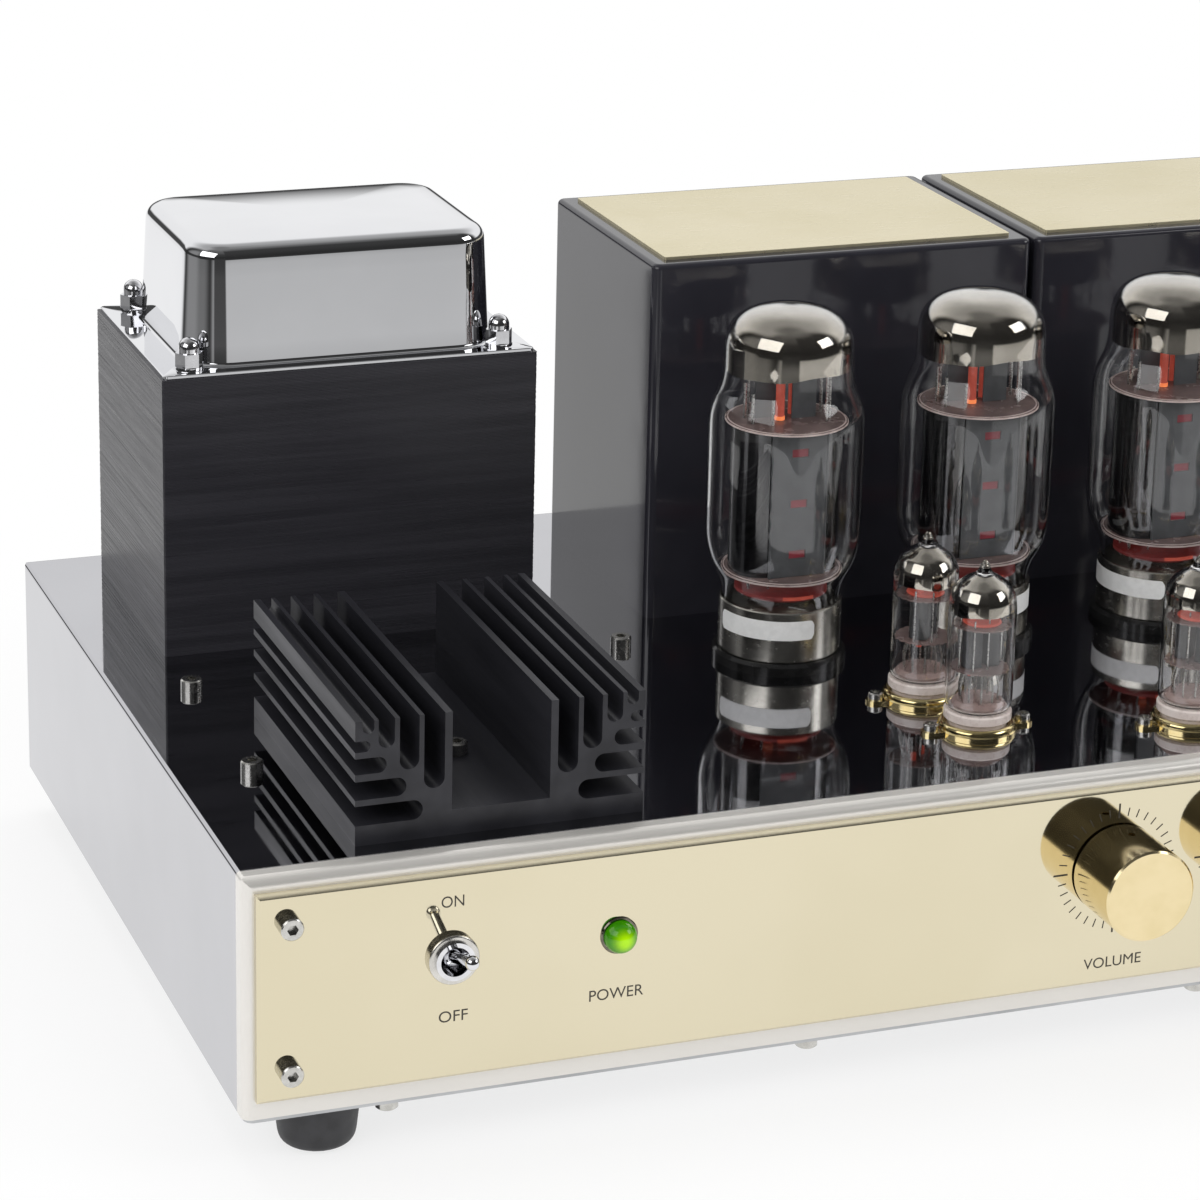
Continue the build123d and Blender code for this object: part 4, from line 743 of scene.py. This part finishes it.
def output_bulb(body, at, seed):
    outer = eased(TUBE_GLASS, 1.0, 14)
    glass = Mesh("glass", at)
    glass.lathe(outer, count=TUBE_SIDES)
    glass.lathe(offset_in(outer, 1.0)[::-1], count=TUBE_SIDES)
    glass.piece(f"{body}_glass", body, "glass", [f"{body}_envelope"], recalc=False)
    phase = random.Random(seed).uniform(0, 6)
    mirror, lining = ([p for p in offset_in(outer, gap) if p[1] > FLASH_Z] for gap in (1.12, 1.3))
    getter(f"{body}_getter", at, body, mirror + lining[::-1], TUBE_SIDES, 6,
           lambda a: 1.4 * sin(a + phase) + 0.5 * sin(3 * a + 2 * phase) + 0.25 * sin(7 * a))


def output_works(body, at):
    """What stands in the glass: a ribbed anode between two micas, grids, cathodes and heaters."""
    low, high = MICA_LOW + 0.9, MICA_HIGH - 0.1
    works = Mesh("anode_grey", at)
    outline = eased(ANODE, 1.5, 6)[:-1]
    rings = []
    for i in range(2 * ANODE_RIBS + 1):
        scale = RIB_SCALE if i % 2 else 1
        z = low + (high - low) * i / 2 / ANODE_RIBS
        rings.append([(x * scale, y * scale, z) for x, y in outline])
    works.loft(rings)

    works.use("fin_grey")
    windows = [(z - WINDOW_RISE, z + WINDOW_RISE) for z in WINDOW_ZS]
    zs = [low] + [z for pair in windows for z in pair] + [high]
    xs = [-STRIP_X, -WINDOW_X, WINDOW_X, STRIP_X]
    gaps = {(1, 1), (1, 3), (1, 5)}
    works.fretwork(xs, zs, gaps, -STRIP_OUT, -STRIP_IN)
    works.fretwork(xs, zs, gaps, STRIP_IN, STRIP_OUT)
    for x in (-STRIP_X, STRIP_X):
        for s in (-1, 1):
            works.post(x, s * 12.4, low, high, 0.45)
    # painted glow: glowing panes in the anode's windows
    works.use("window_glow_pane")
    for z0, z1 in windows:
        works.block((-WINDOW_X, -WINDOW_OUT, z0), (WINDOW_X, -WINDOW_IN, z1))
        works.block((-WINDOW_X, WINDOW_IN, z0), (WINDOW_X, WINDOW_OUT, z1))

    for z in (MICA_LOW, MICA_HIGH):
        works.use("mica")
        works.prism(toothed_disc(MICA_RADIUS, TUBE_SIDES, (0, 0.5, 0.5, 0)), z, z + MICA_THICK)
        works.use("mica_edge")
        for inside, outside, z0, z1 in MICA_RIMS:
            r0, r1 = MICA_RADIUS + inside, MICA_RADIUS + outside
            works.lathe([(r0, z + z0), (r1, z + z0), (r1, z + z1), (r0, z + z1)],
                        count=TUBE_SIDES, closed=True)

    works.use("rod_nickel")
    for x, y, top, radius in GRID_RODS:
        works.post(x, y, SHELF, top, radius)
        works.rod([(x * ROD_SPLAY, y, ROD_FOOT_Z), (x, y, MICA_LOW)], radius)
    works.use("fin_grey")
    for lo, hi in GRID_PLATES:
        works.block(lo, hi)
    works.use("heater_glow")
    for post in CATHODES:
        works.post(*post, 16)
    works.use("hot_tip")
    for post in HOT_TIPS:
        works.post(*post, 16)
    # painted glow: a brighter glowing arc on the front of the ring only, over the dimmer ring
    works.use("heater_glow")  # the lit front of the ring under the lower mica
    works.prism([on_circle(15.7, radians(a)) for a in range(250, 291, 5)]
                + [on_circle(15.3, radians(a)) for a in range(290, 249, -5)], 24.6, 25.8)
    # painted glow: the ring under the lower mica glows dimly all round
    works.use("ember_glow")
    works.lathe(EMBER_RING, count=48)
    works.piece(f"{body}_works", body, "anode_grey", [f"{body}_electrodes"])


def collar_label(body, at, angle):
    """A bare paper label with rounded ends, round the front of the metal collar."""
    reach, outside, inside = radians(50), 20.62, 20.52
    low, high, corner = 12.1, 18.7, 1.6
    columns, rows = 40, 8
    centre = radians(angle - 90)
    points, faces = [], []
    for r in (outside, inside):
        for i in range(columns + 1):
            t = -1 + 2 * i / columns
            missing = corner - min((1 - abs(t)) * reach * r, corner)
            cut = corner - sqrt(max(corner ** 2 - missing ** 2, 0))
            for k in range(rows + 1):
                z = low + cut + (high - low - 2 * cut) * k / rows
                points.append((*on_circle(r, centre + t * reach), z))
    n = rows + 1
    layer = n * (columns + 1)
    for i in range(columns):
        for k in range(rows):
            a, b = i * n + k, (i + 1) * n + k
            faces.append((a, b, b + 1, a + 1))
            faces.append((layer + a, layer + a + 1, layer + b + 1, layer + b))
        for k in (0, rows):
            a, b = i * n + k, (i + 1) * n + k
            faces.append((a, layer + a, layer + b, b))
    for i in (0, columns):
        for a in range(i * n, i * n + rows):
            faces.append((a, a + 1, layer + a + 1, layer + a))
    label = Mesh("label_paper", at)
    label.add(points, faces)
    label.piece(f"{body}_label", body, "ceramic")


for number, (angle, seed) in enumerate(((-39, 11), (55, 12), (-70, 13), (35, 14)), 1):
    body = f"output_tube_{number}"
    middle = box(f"{body}_envelope")[2]
    at = (middle.x, middle.y, DECK_Z)
    output_bulb(body, at, seed)
    output_works(body, at)
    collar_label(body, at, angle)

# ---- driver tubes and their sockets
DRIVER_GLASS = [(0, 7.3), (9.4, 7.3), (10.6, 8.0), (10.85, 10), (10.85, 41), (10.5, 45),
                (8.6, 48.8), (5.4, 51.2), (3.0, 52.2), (1.9, 53.2), (1.7, 55.0), (1.0, 56.4),
                (0, 56.8)]
DRIVER_FLASH_Z = 40.2
HALF_ANODE = [(1.2, -2.9), (5.2, -3.3), (6.3, -1.6), (6.3, 1.6), (5.2, 3.3), (1.2, 2.9),
              (1.2, -2.9)]
HALF_ANODE_Z, HALF_ANODE_HEIGHT, HALF_ANODE_RIBS = 21.8, 13.4, 12
DRIVER_RODS = ((7.6, 0), (-7.6, 0), (0, 4.6), (0, -4.6), (5.5, 5.2), (-5.5, -5.2))
PIN_WIRE = ((6, 8.4), (6.4, 15), (5, 21))  # radius and height along a wire from its pin
# painted glow: a thin disc that stands for the band of heater glow under the getter
GLOW_DISC = [(0, 35.95), (5.6, 35.95), (6.2, 36.4), (5.6, 36.9), (0, 37.2)]
STEM = [(0, 8.3), (8.6, 8.3), (8.8, 9.2), (7.6, 10.4), (0, 11.0)]
FLANGE = [(9.75, 0), (12.9, 0), (12.9, 0.9), (12.5, 1.3), (12.5, 1.9), (12.1, 2.7), (11.4, 3.1),
          (10.6, 3.0), (10.0, 2.5), (9.75, 1.6)]
SEAT = [(0, -10), (9.4, -10), (9.4, 3.8), (10.3, 3.8), (10.9, 4.4), (10.9, 6.7), (10.5, 7.25),
        (0, 7.25)]
EAR_FROM, EAR_AT, EAR_RADIUS, EAR_THICK = 12, 16.2, 3.2, 1.0


def driver_tube(number, lo, hi):
    at = ((lo.x + hi.x) / 2, (lo.y + hi.y) / 2, DECK_Z)
    name = f"driver_tube_{number}"
    stands_for = number == 1  # the first tube's pieces replace the CAD nodes
    chance = random.Random(40 + number)
    outer = eased(DRIVER_GLASS, 0.6, 6)
    glass = Mesh("glass", at)
    glass.lathe(outer)
    inner = [p for p in offset_in(outer, 0.8) if p[1] < 52.0] + [(0, 51.8)]
    glass.lathe(inner[::-1])
    glass.piece(f"{name}_glass", slot="glass", recalc=False,
                replaces=["driver_tube_envelopes"] if stands_for else ())
    phase = chance.uniform(0, 6)
    mirror, lining = ([p for p in offset_in(outer, gap) if DRIVER_FLASH_Z < p[1] < top
                       and p[0] > 0.5] + [(0, end)]
                      for gap, top, end in ((0.9, 51.8, 51.55), (1.1, 51.6, 51.35)))
    getter(f"{name}_getter", at, CHASSIS, mirror + lining[::-1], 64, 5,
           lambda a: 0.5 * sin(2 * a + phase) + 0.25 * sin(5 * a))

    turn = chance.uniform(0, pi)

    def turned(x, y):
        return x * cos(turn) - y * sin(turn), x * sin(turn) + y * cos(turn)

    works = Mesh("plate_dark", at)
    for s in (-1, 1):
        ring = [turned(*p) for p in eased([(s * x, y) for x, y in HALF_ANODE], 0.8, 2)[:-1]]
        rings = []
        for i in range(HALF_ANODE_RIBS + 1):
            scale = 1 - 0.02 * (i % 2)
            z = HALF_ANODE_Z + HALF_ANODE_HEIGHT * i / HALF_ANODE_RIBS
            rings.append([(x * scale, y * scale, z) for x, y in ring])
        works.loft(rings)
    works.use("mica")
    for z in (21.0, 35.5):
        works.prism(toothed_disc(9.4, 60, (0, 0.5, 0)), z, z + 0.4)
    works.use("rod_nickel")
    for x, y in DRIVER_RODS:
        works.post(*turned(x, y), 20, 38.5, 0.3, 6)
    for i in range(1, 10):
        a = radians(36 * i)
        works.rod([(*on_circle(r, a), z) for r, z in PIN_WIRE], 0.35, 6)
    works.use("heater_glow")
    for x in (-3.4, 3.4):
        for low, high in ((35.9, 38.2), (18.5, 21)):
            works.post(*turned(x, 0), low, high, 0.9, 10)
    # painted glow: the disc under the getter glows as the heaters' glow band
    works.lathe(GLOW_DISC, count=32)
    # painted reflection: the pink stem glass
    works.use("stem_glass")
    works.lathe(STEM, count=40)
    works.piece(f"{name}_works", slot="anode_grey",
                replaces=["driver_tube_electrodes"] if stands_for else ())


def noval_bases():
    """A rounded gold ring with two ears, and the ceramic seat in it, for each driver tube."""
    plates, seats = Mesh("gold", (0, 0, DECK_Z)), Mesh("ceramic", (0, 0, DECK_Z))
    for lo, hi in DRIVERS:
        x, y = (lo.x + hi.x) / 2, (lo.y + hi.y) / 2
        plates.lathe(FLANGE, (x, y), closed=True)
        for s in (-1, 1):
            end = [on_circle(EAR_RADIUS, radians(-90 + 15 * i)) for i in range(13)]
            ear = [(x + s * (EAR_AT + u), y + v) for u, v in end]
            root = x + s * EAR_FROM
            plates.prism([(root, y - EAR_RADIUS)] + ear + [(root, y + EAR_RADIUS)], 0.0, EAR_THICK)
        seats.lathe(SEAT, (x, y))
    plates.piece("noval_flange_plates", replaces=["noval_socket_flanges"])
    seats.piece("noval_ceramic_seats", replaces=["noval_sockets"])


for number, (lo, hi) in enumerate(DRIVERS, 1):
    driver_tube(number, lo, hi)
noval_bases()

# ---- lamp and marks on the panel
FACE_Y = box("front_panel")[0].y
PRINT = 0.04  # thickness of the printed marks
LETTER_HEIGHT = 3.6
TICKS, LONG_TICK_EVERY = 36, 9
LONG_TICK, SHORT_TICK = (16.9, 21.8, 0.31), (17.5, 20.3, 0.19)  # from, to, half its width
LENS_DOME = [(5.0 * cos(radians(a)), 1.6 + 4.4 * sin(radians(a))) for a in range(10, 90, 10)]
LENS = [(0, -8), (4.4, -8), (4.4, -0.1), (5.0, 0.0), (5.0, 1.6)] + LENS_DOME + [(0, 6.0)]
BEZEL = [(4.5, -3.0), (5.0, -3.0), (5.0, -0.02), (5.1, 0.0), (5.9, 0.0), (5.9, 0.4), (5.6, 0.8),
         (5.1, 0.8), (5.04, 0.0), (4.5, -0.12)]


def on_panel(material, middle):
    """A mesh that starts on the panel's face and grows to the front."""
    return Mesh(material, (middle.x, FACE_Y, middle.z), FACING_FRONT)


def dial(control):
    marks = on_panel("ink", box(f"{control}_knob")[2])
    for i in range(TICKS):
        a = radians(90 + 360 * i / TICKS)
        r0, r1, half = SHORT_TICK if i % LONG_TICK_EVERY else LONG_TICK
        u, v = Vector((cos(a), sin(a))), Vector((-sin(a), cos(a)))
        tick = [u * r0 - v * half, u * r1 - v * half, u * r1 + v * half, u * r0 + v * half]
        marks.prism([tuple(p) for p in tick], 0.0, PRINT)
    marks.piece(f"{control}_dial_marks", slot="black_phenolic")


def word(text, x, z, width):
    """A printed word: a flat raised mesh on the panel, its middle at x, z."""
    curve = bpy.data.curves.new(text.lower(), "FONT")
    curve.body = text
    curve.resolution_u = 6
    holder = placed(text.lower(), curve)
    bpy.context.view_layer.update()
    view = bpy.context.evaluated_depsgraph_get()
    shape = bpy.data.meshes.new_from_object(holder.evaluated_get(view))
    bpy.data.objects.remove(holder)
    xs, ys = [v.co.x for v in shape.vertices], [v.co.y for v in shape.vertices]
    x0, x1, y0, y1 = min(xs), max(xs), min(ys), max(ys)
    wide, high = width / (x1 - x0), LETTER_HEIGHT / (y1 - y0)
    for v in shape.vertices:
        v.co = ((v.co.x - (x1 + x0) / 2) * wide, (v.co.y - (y1 + y0) / 2) * high, 0)
    work = bmesh.new()
    work.from_mesh(shape)
    bmesh.ops.remove_doubles(work, verts=work.verts, dist=1e-4)
    lifted = bmesh.ops.extrude_face_region(work, geom=work.faces[:])["geom"]
    bmesh.ops.translate(work, vec=(0, 0, PRINT),
                        verts=[e for e in lifted if isinstance(e, bmesh.types.BMVert)])
    bmesh.ops.recalc_face_normals(work, faces=work.faces)
    for v in work.verts:
        v.co = (Vector((x, FACE_Y, z)) + FACING_FRONT @ v.co) * MM
    work.to_mesh(shape)
    work.free()
    shape.materials.clear()
    shape.materials.append(M["ink"])
    obj = placed(f"word_{text.lower()}", shape)
    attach(obj, CHASSIS)


switch, lamp = box("power_switch_nut")[2], box("led_bezel")[2]
lens = on_panel("led_green", lamp)
lens.lathe(LENS, count=48)
lens.piece("indicator_lens", replaces=["led_lens"])
bezel = on_panel("bezel_nickel", lamp)
bezel.lathe(BEZEL, count=48, closed=True)
bezel.piece("indicator_bezel", replaces=["led_bezel"])
word("ON", switch.x, switch.z + 17.9, 7.0)
word("OFF", switch.x + 0.5, switch.z - 18.9, 9.0)
word("POWER", lamp.x - 0.4, lamp.z - 18.8, 17.3)
for control, width in (("volume", 20.2), ("balance", 22.4), ("tape", 12.0), ("input", 14.0)):
    knob = box(f"{control}_knob")[2]
    dial(control)
    word(control.upper(), knob.x + 0.8, knob.z - 31.8, width)


# ---- floor, light and camera
def background_masks(tree):
    """1 for rays that see the room directly or through glass, and 1 for mirrored rays too."""
    path = tree.nodes.new("ShaderNodeLightPath").outputs
    unmirrored = combine(tree, "LESS_THAN", path["Glossy Depth"], 0.5)
    through = combine(tree, "MULTIPLY", path["Is Transmission Ray"], unmirrored)
    direct = combine(tree, "MAXIMUM", path["Is Camera Ray"], through)
    mirrored = combine(tree, "MAXIMUM", path["Is Transmission Ray"], path["Is Glossy Ray"])
    return direct, combine(tree, "MAXIMUM", direct, mirrored)


def floor():
    """A pale floor that keeps the shadow and fades to plain white away from the amplifier."""
    left, right, front, back = -620, 1600, -560, 1800
    top_z, thick = -0.3, 1.0
    fade_x, fade_y = 470, 400  # half axes of an ellipse round the amplifier
    near, far, white_near = 0.75, 1.2, 0.75  # the fade's ends in half axes, and its first share
    mat = new_material("floor", (0.9, 0.9, 0.9), 0.7)
    tones(mat, 300, (0.88, 0.88, 0.88), (0.92, 0.92, 0.92))
    white = mat.node_tree.nodes.new("ShaderNodeEmission")
    away = distance(mat, (1 / fade_x, 1 / fade_y, 0))
    share = span(mat, away, near, far, white_near, 1.0, interpolation="SMOOTHSTEP")
    seen = background_masks(mat.node_tree)[1]
    mix_in(mat, combine(mat.node_tree, "MULTIPLY", seen, share), white)
    slab = Mesh("floor", (0, 0, top_z))
    slab.block((left, front, -thick), (right, back, 0.0))
    slab.build("floor")


def studio():
    """White behind the object; mirrors also see the dark side of the room where the camera is.

    A profile gives the room's brightness by height, and a mask blends profiles by direction.
    """
    around = (0.78, 0.78, 0.78)  # what lights the matt surfaces
    world = bpy.data.worlds.new("studio")
    bpy.context.scene.world = world
    world.use_nodes = True
    tree = world.node_tree
    tree.nodes.clear()
    new, link = tree.nodes.new, tree.links.new
    axes = new("ShaderNodeSeparateXYZ")
    link(new("ShaderNodeTexCoord").outputs["Generated"], axes.inputs[0])

    def between(value, *stops):
        """Brightness over a direction's part of -1 to 1: stops are (part, level)."""
        share = combine(tree, "MULTIPLY_ADD", value, 0.5, 0.5)
        return ramp(tree, share, *(((part + 1) / 2, (level,) * 3) for part, level in stops))

    def blend(mask, low, high):
        node = new("ShaderNodeMix")
        node.data_type = "RGBA"
        link(mask, node.inputs["Factor"])
        colors = [s for s in node.inputs if s.type == "RGBA"]
        for socket, source in zip(colors, (low, high)):
            if isinstance(source, tuple):
                socket.default_value = (*source, 1)
            else:
                link(source, socket)
        return next(s for s in node.outputs if s.type == "RGBA")

    x, y, z = axes.outputs
    behind = between(z, (-1, 0.92), (-0.06, 0.95), (0.0, 0.07), (0.14, 0.07), (0.22, 1.0),
                     (0.5, 1.0), (0.93, 0.45), (1, 0.22))
    right = between(z, (-0.6, 0.9), (-0.22, 0.64), (-0.12, 0.54), (-0.05, 0.04), (0.1, 0.03),
                    (0.8, 0.05), (1, 0.22))
    left = between(z, (-0.9, 0.3), (-0.33, 0.2), (-0.1, 0.05), (0.2, 0.03), (0.5, 0.05),
                   (0.8, 0.12), (1, 0.22))
    side = between(z, (-0.9, 0.3), (-0.33, 0.07), (0.0, 0.03), (0.5, 0.04), (0.8, 0.12),
                   (1, 0.22))
    side_mask = between(x, (-0.9, 0.75), (-0.72, 1), (-0.5, 0))
    left_mask = between(x, (-0.62, 0), (-0.54, 1), (-0.1, 1), (-0.02, 0))
    front_mask = between(y, (-0.25, 1), (0.05, 0))
    ahead = blend(left_mask, right, left)
    mirrored = blend(side_mask, blend(front_mask, behind, ahead), side)
    direct, every = background_masks(tree)
    shade = new("ShaderNodeBackground")
    link(blend(every, around, blend(direct, mirrored, (1, 1, 1))), shade.inputs["Color"])
    link(shade.outputs[0], new("ShaderNodeOutputWorld").inputs["Surface"])


def softbox(name, at, toward, size, power, mirrored=True):
    data = bpy.data.lights.new(name, "AREA")
    data.shape = "RECTANGLE"
    data.size, data.size_y = size
    data.energy = power
    obj = placed(name, data)
    obj.location = at
    obj.rotation_euler = (Vector(toward) - Vector(at)).to_track_quat("-Z", "Y").to_euler()
    obj.visible_glossy = mirrored
    obj.visible_transmission = mirrored


def camera():
    """A long lens in front, a little to the left and above, rolled by a degree and a half."""
    azimuth, elevation, roll = (radians(a) for a in (21.17, 17.19, 1.49))
    level = cos(elevation)
    ahead = Vector((sin(azimuth) * level, cos(azimuth) * level, -sin(elevation)))
    right = Vector((cos(azimuth), -sin(azimuth), 0))
    up = right.cross(ahead)
    x = right * cos(roll) + up * sin(roll)
    y = up * cos(roll) - right * sin(roll)
    data = bpy.data.cameras.new("camera")
    data.sensor_width = 36
    data.lens = 117.61
    data.shift_x = -0.0333
    data.shift_y = -0.1333
    data.clip_start = 0.01
    obj = placed("camera", data)
    obj.matrix_world = Matrix((x, y, -ahead)).transposed().to_4x4()
    obj.location = (-0.52062, -1.1509, 0.54922)
    bpy.context.scene.camera = obj


floor()
studio()
softbox("softbox_left", (-1.2, -0.62, 0.92), (0, 0, 0.15), (1.15, 0.85), 6.0)
softbox("softbox_right", (1.15, -0.85, 0.95), (0, 0, 0.15), (0.75, 0.65), 5.0)
softbox("softbox_top", (0.0, 0.5, 1.9), (0, 0, 0.1), (1.4, 0.9), 9.0, mirrored=False)
camera()
bpy.context.scene.view_settings.view_transform = "Standard"
